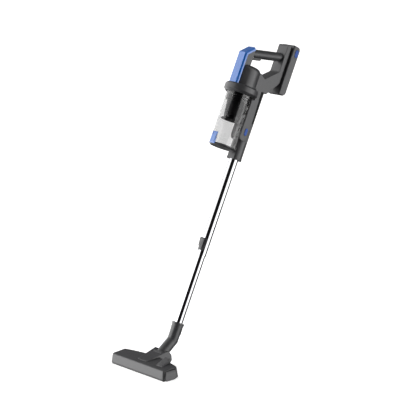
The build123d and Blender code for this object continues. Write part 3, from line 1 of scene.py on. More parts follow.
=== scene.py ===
"""Looks of a cordless stick vacuum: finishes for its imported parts, added trim and a studio stage."""

import json
import math

import bmesh
import bpy
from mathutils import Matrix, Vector


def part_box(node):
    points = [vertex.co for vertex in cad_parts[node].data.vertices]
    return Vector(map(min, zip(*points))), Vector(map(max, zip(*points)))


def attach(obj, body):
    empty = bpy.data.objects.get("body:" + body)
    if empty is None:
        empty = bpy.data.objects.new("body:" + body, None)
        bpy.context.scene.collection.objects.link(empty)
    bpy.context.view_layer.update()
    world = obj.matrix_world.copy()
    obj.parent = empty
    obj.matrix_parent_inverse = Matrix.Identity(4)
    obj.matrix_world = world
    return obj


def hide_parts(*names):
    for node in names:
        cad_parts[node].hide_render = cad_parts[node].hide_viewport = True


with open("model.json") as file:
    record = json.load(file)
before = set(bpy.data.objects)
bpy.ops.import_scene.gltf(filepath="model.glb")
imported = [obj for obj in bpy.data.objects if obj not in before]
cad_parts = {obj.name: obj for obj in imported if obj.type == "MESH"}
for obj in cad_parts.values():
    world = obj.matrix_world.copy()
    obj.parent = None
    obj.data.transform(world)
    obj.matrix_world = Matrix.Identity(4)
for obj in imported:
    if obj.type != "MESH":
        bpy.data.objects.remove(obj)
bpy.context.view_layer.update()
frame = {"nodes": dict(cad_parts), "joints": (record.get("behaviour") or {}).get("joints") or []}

bl_info = {
    "name": "Stick vacuum looks",
    "version": (1, 0, 0),
    "blender": (4, 5, 0),
    "location": "3D View > Sidebar > Vacuum",
    "description": "Finishes, trim and stage for a cordless stick vacuum",
    "category": "Object",
}

MM = 0.001

# Nodes by finish
CASING_NODES = (
    "collar_ring", "motor_housing", "wand_socket", "frame_left", "frame_right", "spine_frame", "grip",
    "battery_front_case", "battery_back_case", "lower_neck", "upper_neck", "latch_saddle", "latch_slider",
    "cup_lid",
)
HEAD_NODES = ("head_shell", "end_cap_left", "end_cap_right", "neck_cover", "foot_pedal")
BLACK_NODES = (
    "rear_strip", "trigger", "sole_plate", "bristle_carrier", "filter_frame", "motor_seat",
    "battery_terminals", "power_switch", "charge_jack", "guide_bush", "slide_ring",
)
SHROUD_NODES = ("cyclone_shroud",)
BLUE_NODES = ("spine_cover", "lid_latch")
BUTTON_NODES = ("wand_button", "battery_button_left", "battery_button_right")
CLEAR_NODES = ("dust_cup",)
CHROME_NODES = ("lower_tube", "upper_tube")
STEEL_NODES = (
    "hinge_pin", "latch_pin", "trigger_pin", "pedal_pin", "pivot_pins", "wheel_axles", "frame_screws",
)
MOTOR_NODES = ("motor_can", "rotor", "battery_cells")
RUBBER_NODES = ("socket_seal", "inlet_seal", "cup_seal", "lid_seal", "wheel_left", "wheel_right")
FILTER_NODES = ("pleated_filter",)
BOARD_NODES = ("control_board", "battery_board")
BRISTLE_NODES = ("bristle_strip_front", "bristle_strip_back")

# Grains of the mould and of other surfaces, in millimetres
SATIN_GRAIN = {"grain_mm": 0.9, "depth_mm": 0.04}
POLISHED_GRAIN = {"grain_mm": 1.5, "depth_mm": 0.02}
FLOW_CLOUD_MM = 35
WIPED_HAZE_MM = 4
PAPER_TOOTH_MM = 6
FIBRE_DEPTH_MM = 0.1
GAUZE_COARSENESS = 4  # times its true mesh, so that it shows
# Noise mostly falls between these values, so a pattern's two tones are set there
NOISE_LOW = 0.3
NOISE_HIGH = 0.7

# Modelling of the added trim
SMOOTH_ANGLE = math.radians(35)  # sharper edges stay sharp
FLAT_ON = 0.99  # cosine past which a face looks straight one way
LOOKS_ALONG = 0.8  # cosine past which a tilted face still looks about that way
TOUCH = 0.01 * MM  # points this near a plane lie in it
TUFT_ROWS = (0.25, 0.75)  # shares of a bristle strip's width
BRISTLE_SIDES = 4
SCREEN_SIDES = 96
HEM_SPREAD = 1.015  # a hem's radius over that of the screen's end
# Ridges on the face of a node that looks a given way, with their place along it and share of its width
RIDGE_SETS = (
    {"name": "pedal_ridges", "node": "foot_pedal", "facing": Vector((0, 0, 1)),
     "count": 3, "pitch": 3.4 * MM, "shift": -11 * MM, "share": 0.74},
    {"name": "slider_ridges", "node": "latch_slider", "facing": Vector((0, -1, 0)),
     "count": 4, "pitch": 3.0 * MM, "shift": -4 * MM, "share": 0.7},
)

# Studio, in metres where nothing else is said
IMAGE_WIDTH = 416  # pixels
SENSOR_WIDTH = 36.0  # millimetres
SIGHT_LIMIT = 100
FLOOR_WIDTH = 40.0
LAMP_ASIDE = 2.6
LAMP_AHEAD = 0.2
# Name, side, width and watts of each lamp: a large softbox on the left and a weaker one on the right
SOFTBOXES = (("left_softbox", -1.0, 2.2, 30), ("right_softbox", 1.0, 1.6, 10))
STUDIO_STRENGTH = 2.4
# Degrees and brightness, from behind, by the left wall, the camera's own dark gap and the right wall
STUDIO_WALLS = (
    (-180, 0.1), (-158, 0.12), (-146, 1.0), (-55, 1.0), (-48, 0.005), (31, 0.005), (39, 1.0), (85, 1.0),
    (92, 0.04), (180, 0.04),
)
# Degrees and brightness, from straight down to straight up
STUDIO_BANDS = ((-90, 0.3), (-52, 0.25), (-38, 0.1), (-26, 1.0), (26, 1.0), (44, 0.36), (90, 0.36))


def linear(hex_colour):
    """sRGB hex, such as #4a4a4c, as linear RGBA."""
    parts = [int(hex_colour[place:place + 2], 16) / 255 for place in (1, 3, 5)]
    lit = [part / 12.92 if part <= 0.04045 else ((part + 0.055) / 1.055) ** 2.4 for part in parts]
    return (*lit, 1.0)


def two_tones(dark, light):
    """Colour stops for a noise pattern between two sRGB hex tones."""
    return ((NOISE_LOW, linear(dark)), (NOISE_HIGH, linear(light)))


def add_node(tree, kind, values=None, links=None, stops=None, **settings):
    """Adds a shader node with its settings, input values, links from (node, output) and colour stops."""
    node = tree.nodes.new(kind)
    for key, value in settings.items():
        setattr(node, key, value)
    for key, value in (values or {}).items():
        node.inputs[key].default_value = value
    for key, (source, output) in (links or {}).items():
        tree.links.new(source.outputs[output], node.inputs[key])
    for index, (position, colour) in enumerate(stops or ()):
        elements = node.color_ramp.elements
        element = elements[index] if index < 2 else elements.new(position)
        element.position = position
        element.color = colour
    return node


def new_material(name):
    """A material with an empty node tree."""
    material = bpy.data.materials.new(name)
    material.use_nodes = True
    material.node_tree.nodes.clear()
    return material, material.node_tree


def moulded(name, dark, light, rough, grain_mm, depth_mm, coat=0.0, shine=0.5, edge_mm=0.7):
    """Injection-moulded ABS: an even grain from the mould, faint flow clouds and softly broken edges."""
    material, tree = new_material(name)
    place = add_node(tree, "ShaderNodeTexCoord")
    grain = add_node(tree, "ShaderNodeTexNoise", {"Scale": 1 / (grain_mm * MM), "Detail": 2.0},
                     {"Vector": (place, "Object")})
    cloud = add_node(tree, "ShaderNodeTexNoise", {"Scale": 1 / (FLOW_CLOUD_MM * MM), "Detail": 3.0},
                     {"Vector": (place, "Object")})
    tone = add_node(tree, "ShaderNodeValToRGB", links={"Fac": (cloud, "Fac")},
                    stops=two_tones(dark, light))
    rounded = add_node(tree, "ShaderNodeBevel", {"Radius": edge_mm * MM}, samples=8)
    bump = add_node(tree, "ShaderNodeBump", {"Strength": 0.35, "Distance": depth_mm * MM},
                    {"Height": (grain, "Fac"), "Normal": (rounded, "Normal")})
    gloss = add_node(tree, "ShaderNodeMapRange", {"To Min": rough - 0.05, "To Max": rough + 0.05},
                     {"Value": (cloud, "Fac")})
    shader = add_node(tree, "ShaderNodeBsdfPrincipled",
                      {"IOR": 1.53, "Specular IOR Level": shine, "Coat Weight": coat,
                       "Coat Roughness": 0.12},
                      {"Base Color": (tone, "Color"), "Roughness": (gloss, "Result"),
                       "Normal": (bump, "Normal")})
    add_node(tree, "ShaderNodeOutputMaterial", links={"Surface": (shader, "BSDF")})
    return material


def clear_moulding(name, dark, light, rough):
    """Clear plastic: seen through face on, mirror-like near its edges, with a faint haze from wiping."""
    material, tree = new_material(name)
    place = add_node(tree, "ShaderNodeTexCoord")
    haze = add_node(tree, "ShaderNodeTexNoise", {"Scale": 1 / (WIPED_HAZE_MM * MM), "Detail": 4.0},
                    {"Vector": (place, "Object")})
    tint = add_node(tree, "ShaderNodeValToRGB", links={"Fac": (haze, "Fac")},
                    stops=two_tones(dark, light))
    gloss = add_node(tree, "ShaderNodeMapRange", {"To Min": rough * 0.85, "To Max": rough * 1.15},
                     {"Value": (haze, "Fac")})
    through = add_node(tree, "ShaderNodeBsdfTransparent", links={"Color": (tint, "Color")})
    mirror = add_node(tree, "ShaderNodeBsdfAnisotropic", {"Color": linear("#ffffff")},
                      {"Roughness": (gloss, "Result")})
    # A face mirrors only towards its outer side, because a ray inside the wall isn't bent here
    facing = add_node(tree, "ShaderNodeNewGeometry")
    outside = add_node(tree, "ShaderNodeMath", {1: 0.5}, {0: (facing, "Backfacing")},
                       operation="LESS_THAN")
    glance = add_node(tree, "ShaderNodeFresnel", {"IOR": 1.5})
    share = add_node(tree, "ShaderNodeMath", links={0: (glance, "Fac"), 1: (outside, "Value")},
                     operation="MULTIPLY")
    skin = add_node(tree, "ShaderNodeMixShader",
                    links={"Fac": (share, "Value"), 1: (through, "BSDF"), 2: (mirror, "BSDF")})
    add_node(tree, "ShaderNodeOutputMaterial", links={"Surface": (skin, "Shader")})
    return material


def metal(name, dark, light, rough, mottle_mm, edge="#ffffff"):
    """Bright metal, plated or turned: finely mottled in tone and polish, and tinted where it turns away."""
    material, tree = new_material(name)
    place = add_node(tree, "ShaderNodeTexCoord")
    mottle = add_node(tree, "ShaderNodeTexNoise", {"Scale": 1 / (mottle_mm * MM), "Detail": 3.0},
                      {"Vector": (place, "Object")})
    tone = add_node(tree, "ShaderNodeValToRGB", links={"Fac": (mottle, "Fac")},
                    stops=two_tones(dark, light))
    gloss = add_node(tree, "ShaderNodeMapRange", {"To Min": rough * 0.7, "To Max": rough * 1.3},
                     {"Value": (mottle, "Fac")})
    shader = add_node(tree, "ShaderNodeBsdfPrincipled", {"Metallic": 1.0, "Specular Tint": linear(edge)},
                      {"Base Color": (tone, "Color"), "Roughness": (gloss, "Result")})
    add_node(tree, "ShaderNodeOutputMaterial", links={"Surface": (shader, "BSDF")})
    return material


def fibrous(name, dark, light, fibre_mm, rough=0.75):
    """Rubber, fibre, nylon or lacquered board: a speckle of its own grain with a fine tooth."""
    material, tree = new_material(name)
    place = add_node(tree, "ShaderNodeTexCoord")
    speckle = add_node(tree, "ShaderNodeTexNoise", {"Scale": 1 / (fibre_mm * MM), "Detail": 4.0},
                       {"Vector": (place, "Object")})
    tone = add_node(tree, "ShaderNodeValToRGB", links={"Fac": (speckle, "Fac")},
                    stops=two_tones(dark, light))
    bump = add_node(tree, "ShaderNodeBump", {"Strength": 0.5, "Distance": FIBRE_DEPTH_MM * MM},
                    {"Height": (speckle, "Fac")})
    shader = add_node(tree, "ShaderNodeBsdfPrincipled", {"Roughness": rough},
                      {"Base Color": (tone, "Color"), "Normal": (bump, "Normal")})
    add_node(tree, "ShaderNodeOutputMaterial", links={"Surface": (shader, "BSDF")})
    return material


def woven_screen(name, dark, light, wire_mm):
    """Blackened steel gauze: a square mesh, drawn several times too coarse so that it shows."""
    material, tree = new_material(name)
    place = add_node(tree, "ShaderNodeTexCoord")
    wires = add_node(tree, "ShaderNodeTexVoronoi",
                     {"Scale": 1 / (GAUZE_COARSENESS * wire_mm * MM), "Randomness": 0.0},
                     {"Vector": (place, "Object")}, distance="CHEBYCHEV")
    tone = add_node(tree, "ShaderNodeValToRGB", links={"Fac": (wires, "Distance")},
                    stops=((0.2, linear(dark)), (0.5, linear(light))))
    bump = add_node(tree, "ShaderNodeBump", {"Strength": 0.4, "Distance": wire_mm * MM},
                    {"Height": (wires, "Distance")})
    shader = add_node(tree, "ShaderNodeBsdfPrincipled", {"Metallic": 0.6, "Roughness": 0.4},
                      {"Base Color": (tone, "Color"), "Normal": (bump, "Normal")})
    add_node(tree, "ShaderNodeOutputMaterial", links={"Surface": (shader, "BSDF")})
    return material


def paper_sweep(name):
    """Matt white paper under the object, lit from below as a product table is, so that it stays white."""
    material, tree = new_material(name)
    place = add_node(tree, "ShaderNodeTexCoord")
    tooth = add_node(tree, "ShaderNodeTexNoise", {"Scale": 1 / (PAPER_TOOTH_MM * MM), "Detail": 2.0},
                     {"Vector": (place, "Object")})
    tone = add_node(tree, "ShaderNodeValToRGB", links={"Fac": (tooth, "Fac")},
                    stops=two_tones("#f3f3f3", "#f7f7f7"))
    shader = add_node(tree, "ShaderNodeBsdfPrincipled",
                      {"Roughness": 0.9, "Emission Color": linear("#ffffff"), "Emission Strength": 0.7},
                      {"Base Color": (tone, "Color")})
    add_node(tree, "ShaderNodeOutputMaterial", links={"Surface": (shader, "BSDF")})
    return material


def studio_world(name, across, toward):
    """White walls on the left and right, with dark gaps between them, and dimmer above and below."""
    world = bpy.data.worlds.new(name)
    world.use_nodes = True
    tree = world.node_tree
    tree.nodes.clear()
    place = add_node(tree, "ShaderNodeTexCoord")
    side = add_node(tree, "ShaderNodeVectorMath", {1: across}, {0: (place, "Generated")},
                    operation="DOT_PRODUCT")
    front = add_node(tree, "ShaderNodeVectorMath", {1: toward}, {0: (place, "Generated")},
                     operation="DOT_PRODUCT")
    height = add_node(tree, "ShaderNodeVectorMath", {1: (0, 0, 1)}, {0: (place, "Generated")},
                      operation="DOT_PRODUCT")
    turn = add_node(tree, "ShaderNodeMath", links={0: (side, "Value"), 1: (front, "Value")},
                    operation="ARCTAN2")
    round_share = add_node(tree, "ShaderNodeMapRange", {"From Min": -math.pi, "From Max": math.pi},
                           {"Value": (turn, "Value")})
    tall_share = add_node(tree, "ShaderNodeMapRange", {"From Min": -1.0, "From Max": 1.0},
                          {"Value": (height, "Value")})
    walls = add_node(tree, "ShaderNodeValToRGB", links={"Fac": (round_share, "Result")},
                     stops=[((turned + 180) / 360, (tone, tone, tone, 1)) for turned, tone in STUDIO_WALLS])
    bands = add_node(tree, "ShaderNodeValToRGB", links={"Fac": (tall_share, "Result")},
                     stops=[((math.sin(math.radians(rise)) + 1) / 2, (tone, tone, tone, 1))
                            for rise, tone in STUDIO_BANDS])
    lit = add_node(tree, "ShaderNodeMath", links={0: (walls, "Color"), 1: (bands, "Color")},
                   operation="MULTIPLY")
    scaled = add_node(tree, "ShaderNodeMath", {1: STUDIO_STRENGTH}, {0: (lit, "Value")},
                      operation="MULTIPLY")
    sky = add_node(tree, "ShaderNodeBackground", {"Color": linear("#ffffff")},
                   {"Strength": (scaled, "Value")})
    add_node(tree, "ShaderNodeOutputWorld", links={"Surface": (sky, "Background")})
    return world


def dress(nodes, material):
    """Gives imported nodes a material."""
    for name in nodes:
        mesh = frame["nodes"][name].data
        mesh.materials.clear()
        mesh.materials.append(material)


def start(primitive, **settings):
    """Adds a primitive with nothing else selected."""
    bpy.ops.object.select_all(action="DESELECT")
    primitive(**settings)
    return bpy.context.object


def pick(piece, kind, wanted):
    """Selects, in edit mode, the faces, edges or verts that a test of each wants."""
    bpy.ops.mesh.select_all(action="DESELECT")
    mesh = bmesh.from_edit_mesh(piece.data)
    for element in getattr(mesh, kind):
        if wanted(element):
            element.select_set(True)
    mesh.select_flush(True)
    bmesh.update_edit_mesh(piece.data)


def apply_place():
    """Puts the selected piece's place, turn and scale into its mesh."""
    bpy.ops.object.transform_apply(location=True, rotation=True, scale=True)


def apply_scale():
    """Puts only the selected piece's scale into its mesh, so that it is shaped in its own axes."""
    bpy.ops.object.transform_apply(location=False, rotation=False, scale=True)


def repeat(piece, count, step):
    """Repeats a piece along a step with an applied Array modifier."""
    array = piece.modifiers.new("repeat", "ARRAY")
    array.count = count
    array.use_relative_offset = False
    array.use_constant_offset = True
    array.constant_offset_displace = step
    bpy.ops.object.modifier_apply(modifier=array.name)


def join(pieces):
    """Joins pieces into the first."""
    bpy.ops.object.select_all(action="DESELECT")
    for piece in pieces:
        piece.select_set(True)
    bpy.context.view_layer.objects.active = pieces[0]
    bpy.ops.object.join()
    return pieces[0]


def settle(piece, name, body, material):
    """Puts a finished piece's place into its mesh, smooths it, dresses it and hangs it on its body."""
    apply_place()
    bpy.ops.object.shade_smooth_by_angle(angle=SMOOTH_ANGLE)
    piece.name = name
    piece.data.materials.clear()
    piece.data.materials.append(material)
    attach(piece, body)


def stick_up():
    """The way up the leaning stick: the dust cup's way out, turned round."""
    release = next(joint for joint in frame["joints"] if joint["name"] == "cup_release")
    return -Vector(release["axis"]).normalized()


def stick_turn(up):
    """Rotation that stands a piece's own Z axis along the stick."""
    return (-math.atan2(up.y, up.z), 0, 0)


def flat_face(node, facing):
    """Middle and normal of a node's largest flat face that looks a given way."""
    flats = {}
    for face in frame["nodes"][node].data.polygons:
        normal = face.normal
        if normal.dot(facing) > LOOKS_ALONG:
            # Triangles of one flat share their tilt and, to a tenth of a millimetre, their plane
            plane = (round(normal.y, 2), round(normal.z, 2), round(normal.dot(face.center), 4))
            flats.setdefault(plane, []).append(face)
    largest = max(flats.values(), key=lambda faces: sum(face.area for face in faces))
    area = sum(face.area for face in largest)
    middle = sum((face.center * face.area for face in largest), Vector()) / area
    return middle, largest[0].normal.copy()


def tuft_row(trim, foot, reach, length):
    """A row of bristle tufts from the first one's foot: one tuft, repeated along the strip."""
    bristles = []
    for turn in range(trim.tuft_bristles):
        angle = turn * math.tau / trim.tuft_bristles
        lean = Vector((math.cos(angle), math.sin(angle), 0))
        middle = foot + lean * trim.tuft_radius - Vector((0, 0, reach / 2))
        # Half as thick at the tip, and turned a radian more each, so that no two stand alike
        bristle = start(
            bpy.ops.mesh.primitive_cone_add, vertices=BRISTLE_SIDES, radius1=trim.bristle_radius / 2,
            radius2=trim.bristle_radius, depth=reach, location=middle, rotation=(0, 0, turn))
        # The tips spread a little, as cut nylon does
        bpy.ops.object.mode_set(mode="EDIT")
        pick(bristle, "verts", lambda vert: vert.co.z < 0)
        bpy.ops.transform.translate(value=lean * trim.bristle_radius)
        bpy.ops.object.mode_set(mode="OBJECT")
        bristles.append(bristle)
    tuft = join(bristles)
    apply_place()
    repeat(tuft, int(length / trim.tuft_pitch), (trim.tuft_pitch, 0, 0))
    return tuft


def strip_backing(trim, middle, size):
    """The bar that holds a strip's tufts in a groove along its underside, with its upper edges broken."""
    backing = start(bpy.ops.mesh.primitive_cube_add, size=1.0, location=middle, scale=size)
    apply_place()
    bpy.ops.object.mode_set(mode="EDIT")
    bpy.ops.mesh.select_mode(type="FACE")
    pick(backing, "faces", lambda face: face.normal.z < -FLAT_ON)
    bpy.ops.mesh.inset(thickness=trim.groove_margin, depth=-trim.groove_deep)
    bpy.ops.mesh.select_mode(type="EDGE")
    pick(backing, "edges", lambda edge: all(vert.co.z > middle.z for vert in edge.verts))
    bpy.ops.mesh.bevel(offset=trim.backing_round, segments=2, affect="EDGES")
    bpy.ops.object.mode_set(mode="OBJECT")
    return backing


class VacuumFinish(bpy.types.PropertyGroup):
    """Colours of the visible finishes, as sRGB hex."""

    casing: bpy.props.StringProperty(name="Casing", description="Dark grey casing", default="#3b3b3d")
    casing_light: bpy.props.StringProperty(
        name="Casing light", description="Palest casing tone", default="#424244")
    black: bpy.props.StringProperty(name="Black", description="Black trim", default="#151517")
    black_light: bpy.props.StringProperty(
        name="Black light", description="Palest tone of the black trim", default="#1b1b1d")
    blue: bpy.props.StringProperty(name="Blue", description="Blue trim", default="#2468bf")
    blue_light: bpy.props.StringProperty(
        name="Blue light", description="Palest blue tone", default="#2c71c8")
    button: bpy.props.StringProperty(name="Button", description="Blue buttons", default="#1e4a9e")
    button_light: bpy.props.StringProperty(
        name="Button light", description="Palest button tone", default="#2452a8")


class VacuumTrim(bpy.types.PropertyGroup):
    """Sizes of the added trim."""

    backing_tall: bpy.props.FloatProperty(
        name="Backing height", description="Height of a bristle strip's backing", default=3.0 * MM,
        unit="LENGTH")
    backing_round: bpy.props.FloatProperty(
        name="Backing edges", description="How far a backing's upper edges are broken", default=0.4 * MM,
        unit="LENGTH")
    groove_margin: bpy.props.FloatProperty(
        name="Groove margin", description="Beside the groove that holds the tufts", default=0.33 * MM,
        unit="LENGTH")
    groove_deep: bpy.props.FloatProperty(
        name="Groove depth", description="Of the groove that holds the tufts", default=0.22 * MM,
        unit="LENGTH")
    bristle_radius: bpy.props.FloatProperty(
        name="Bristle radius", description="Radius of a bristle at its root", default=0.22 * MM,
        unit="LENGTH")
    tuft_bristles: bpy.props.IntProperty(
        name="Bristles", description="Bristles in a tuft", default=5, min=1)
    tuft_radius: bpy.props.FloatProperty(
        name="Tuft radius", description="From a tuft's middle to its outer bristles", default=0.5 * MM,
        unit="LENGTH")
    tuft_pitch: bpy.props.FloatProperty(
        name="Tuft pitch", description="Along a bristle strip", default=1.8 * MM, unit="LENGTH")
    ridge_wide: bpy.props.FloatProperty(
        name="Ridge width", description="Width of a finger or foot ridge", default=1.4 * MM,
        unit="LENGTH")
    ridge_tall: bpy.props.FloatProperty(
        name="Ridge height", description="Height of a finger or foot ridge", default=0.7 * MM,
        unit="LENGTH")
    ridge_round: bpy.props.FloatProperty(
        name="Ridge edges", description="How far a ridge's upper edges are rounded", default=0.42 * MM,
        unit="LENGTH")
    # Sizes of the black strips on the column's sides, which are painted shadow of the gap behind the frame
    shadow_strip_wide: bpy.props.FloatProperty(
        name="Shadow strip width", description="Width of a column inlay's upper end", default=12.0 * MM,
        unit="LENGTH")
    shadow_strip_taper: bpy.props.FloatProperty(
        name="Shadow strip taper", description="How much narrower an inlay's lower end is", default=6.6 * MM,
        unit="LENGTH")
    shadow_strip_long: bpy.props.FloatProperty(
        name="Shadow strip length", description="Length of a column inlay", default=116.0 * MM, unit="LENGTH")
    shadow_strip_edge: bpy.props.FloatProperty(
        name="Shadow strip margin", description="From a column inlay to the column's edge", default=0.4 * MM,
        unit="LENGTH")
    shadow_strip_proud: bpy.props.FloatProperty(
        name="Shadow strip height", description="Of a column inlay over the column", default=0.5 * MM,
        unit="LENGTH")
    shadow_strip_round: bpy.props.FloatProperty(
        name="Shadow strip edges", description="How far an inlay's outer edges are broken", default=0.3 * MM,
        unit="LENGTH")
    channel_margin: bpy.props.FloatProperty(
        name="Channel margin", description="Beside the channel in a column inlay", default=1.5 * MM,
        unit="LENGTH")
    channel_slope: bpy.props.FloatProperty(
        name="Channel slope", description="Width of the channel's sloping sides", default=0.5 * MM,
        unit="LENGTH")
    channel_deep: bpy.props.FloatProperty(
        name="Channel depth", description="Depth of the channel in a column inlay", default=0.4 * MM,
        unit="LENGTH")
    screen_low: bpy.props.FloatProperty(
        name="Screen's lower end", description="Below the cup's top seal", default=88.0 * MM,
        unit="LENGTH")
    screen_high: bpy.props.FloatProperty(
        name="Screen's upper end", description="Below the cup's top seal", default=37.0 * MM,
        unit="LENGTH")
    screen_low_radius: bpy.props.FloatProperty(
        name="Screen's lower radius", description="Round the cyclone's cone", default=29.2 * MM,
        unit="LENGTH")
    screen_high_radius: bpy.props.FloatProperty(
        name="Screen's upper radius", description="Round the cyclone's cone", default=34.3 * MM,
        unit="LENGTH")
    screen_wall: bpy.props.FloatProperty(
        name="Screen's thickness", description="Of the gauze", default=0.3 * MM, unit="LENGTH")


class VacuumView(bpy.types.PropertyGroup):
    """Where the camera stands."""

    azimuth: bpy.props.FloatProperty(
        name="Azimuth", description="Camera's turn from the front", default=math.radians(47.0),
        subtype="ANGLE")
    elevation: bpy.props.FloatProperty(
        name="Elevation", description="Camera's angle over the aim point", default=math.radians(13.4),
        subtype="ANGLE")
    distance: bpy.props.FloatProperty(
        name="Distance", description="From the aim point to the camera", default=5.773, unit="LENGTH")
    aim_side: bpy.props.FloatProperty(
        name="Aim to the side", description="Aim point to the right of the axis", default=0.036,
        unit="LENGTH")
    aim_back: bpy.props.FloatProperty(
        name="Aim back", description="Aim point behind the rest point", default=0.25, unit="LENGTH")
    aim_height: bpy.props.FloatProperty(
        name="Aim height", description="Aim point over the floor", default=0.525, unit="LENGTH")
    focal_pixels: bpy.props.FloatProperty(
        name="Focal length", description="Focal length in pixels of the picture", default=1700.0)


class VACUUM_OT_finishes(bpy.types.Operator):
    """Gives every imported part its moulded, plated or rubber finish"""

    bl_idname = "vacuum.finishes"
    bl_label = "Finishes"

    def execute(self, context):
        finish = context.scene.vacuum_finish
        # ABS from an etched mould: dark grey, with a satin sheen that spreads the walls' light
        dress(CASING_NODES, moulded(
            "grey_abs_satin", finish.casing, finish.casing_light, rough=0.36, **SATIN_GRAIN))
        # The same on the floor head, whose rounder edges turn the light more slowly
        dress(HEAD_NODES, moulded(
            "grey_abs_soft_edged", finish.casing, finish.casing_light, rough=0.36, edge_mm=4.0,
            **SATIN_GRAIN))
        # ABS from the same kind of mould, in black: a dull sheen on near black
        dress(BLACK_NODES, moulded(
            "black_abs_satin", finish.black, finish.black_light, rough=0.38, **SATIN_GRAIN))
        # ABS from a polished mould: deep black with clear lights down the cyclone's cone
        dress(SHROUD_NODES, moulded(
            "black_abs_polished", "#0e0e10", "#141418", rough=0.2, **POLISHED_GRAIN))
        # Glossy ABS: strong blue, pale where it mirrors the left wall
        dress(BLUE_NODES, moulded(
            "blue_abs_polished", finish.blue, finish.blue_light, rough=0.3, coat=0.3, shine=0.9,
            **POLISHED_GRAIN))
        # Dull ABS under the fingers: a deeper blue with little sheen
        dress(BUTTON_NODES, moulded(
            "blue_abs_satin", finish.button, finish.button_light, rough=0.42, shine=0.3, **SATIN_GRAIN))
        # Polycarbonate from a polished mould: clear, with crisp lights and a pale grey tint
        dress(CLEAR_NODES, clear_moulding("clear_polycarbonate", "#ebebeb", "#eeeeee", rough=0.04))
        # Chrome on steel tube: a sharp mirror of the studio, greyer along the tube's edges
        dress(CHROME_NODES, metal(
            "chrome_plate", "#bebec1", "#c6c6c8", rough=0.05, mottle_mm=1.2, edge="#8c8c90"))
        # Ground steel pins and screws: grey, with a soft shine
        dress(STEEL_NODES, metal("ground_steel", "#8d8e92", "#a2a3a7", rough=0.3, mottle_mm=0.5))
        # Turned aluminium: paler, with a soft shine
        dress(MOTOR_NODES, metal("turned_aluminium", "#a5a6aa", "#b9babd", rough=0.32, mottle_mm=0.5))
        # Moulded rubber: black and dull
        dress(RUBBER_NODES, fibrous("black_rubber", "#131313", "#1d1d1d", fibre_mm=0.8))
        # Pressed filter fibre: off-white and matt
        dress(FILTER_NODES, fibrous("filter_fibre", "#cfcdc4", "#e4e2da", fibre_mm=0.6))
        # Lacquer on glass fibre board: dark green with some shine
        dress(BOARD_NODES, fibrous("lacquered_board", "#12462c", "#1a5a38", fibre_mm=1.5, rough=0.4))
        return {"FINISHED"}


class VACUUM_OT_bristles(bpy.types.Operator):
    """Fills both bristle strips with tufts of tapered nylon bristles"""

    bl_idname = "vacuum.bristles"
    bl_label = "Bristle strips"

    def execute(self, context):
        trim = context.scene.vacuum_trim
        # Drawn nylon: near black, slightly shiny, with a tone that differs from bristle to bristle
        nylon = fibrous("nylon_bristle", "#18181b", "#2c2c31", fibre_mm=0.4, rough=0.5)
        for node in BRISTLE_NODES:
            low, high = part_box(node)
            size = high - low
            root = high.z - trim.backing_tall
            tufts = []
            for row in TUFT_ROWS:
                foot = Vector((low.x + trim.tuft_pitch / 2, low.y + size.y * row, root))
                tufts.append(tuft_row(trim, foot, root - low.z, size.x))
            middle = Vector(((low.x + high.x) / 2, (low.y + high.y) / 2, root + trim.backing_tall / 2))
            backing = strip_backing(trim, middle, (size.x, size.y, trim.backing_tall))
            strip = join([backing] + tufts)
            settle(strip, node.replace("strip", "tufts"), "bristle_carrier", nylon)
            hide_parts(node)
        return {"FINISHED"}


class VACUUM_OT_ridges(bpy.types.Operator):
    """Moulds grip ridges on the foot pedal and the wand's latch slider"""

    bl_idname = "vacuum.ridges"
    bl_label = "Grip ridges"

    def execute(self, context):
        trim = context.scene.vacuum_trim
        plastic = bpy.data.materials["grey_abs_satin"]
        for ridges in RIDGE_SETS:
            node, count, pitch = ridges["node"], ridges["count"], ridges["pitch"]
            middle, normal = flat_face(node, ridges["facing"])
            low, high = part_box(node)
            tilt = math.atan2(-normal.y, normal.z)
            along = Vector((0, math.cos(tilt), math.sin(tilt)))
            first = middle + along * (ridges["shift"] - pitch * (count - 1) / 2)
            # Half of each ridge's bar is let into the face
            bar = ((high.x - low.x) * ridges["share"], trim.ridge_wide, 2 * trim.ridge_tall)
            ridge = start(bpy.ops.mesh.primitive_cube_add, size=1.0, location=first,
                          rotation=(tilt, 0, 0), scale=bar)
            apply_scale()
            bpy.ops.object.mode_set(mode="EDIT")
            bpy.ops.mesh.select_mode(type="EDGE")
            pick(ridge, "edges", lambda edge: all(vert.co.z > 0 for vert in edge.verts))
            bpy.ops.mesh.bevel(offset=trim.ridge_round, segments=3, affect="EDGES")
            bpy.ops.object.mode_set(mode="OBJECT")
            repeat(ridge, count, (0, pitch, 0))
            settle(ridge, ridges["name"], node, plastic)
        return {"FINISHED"}


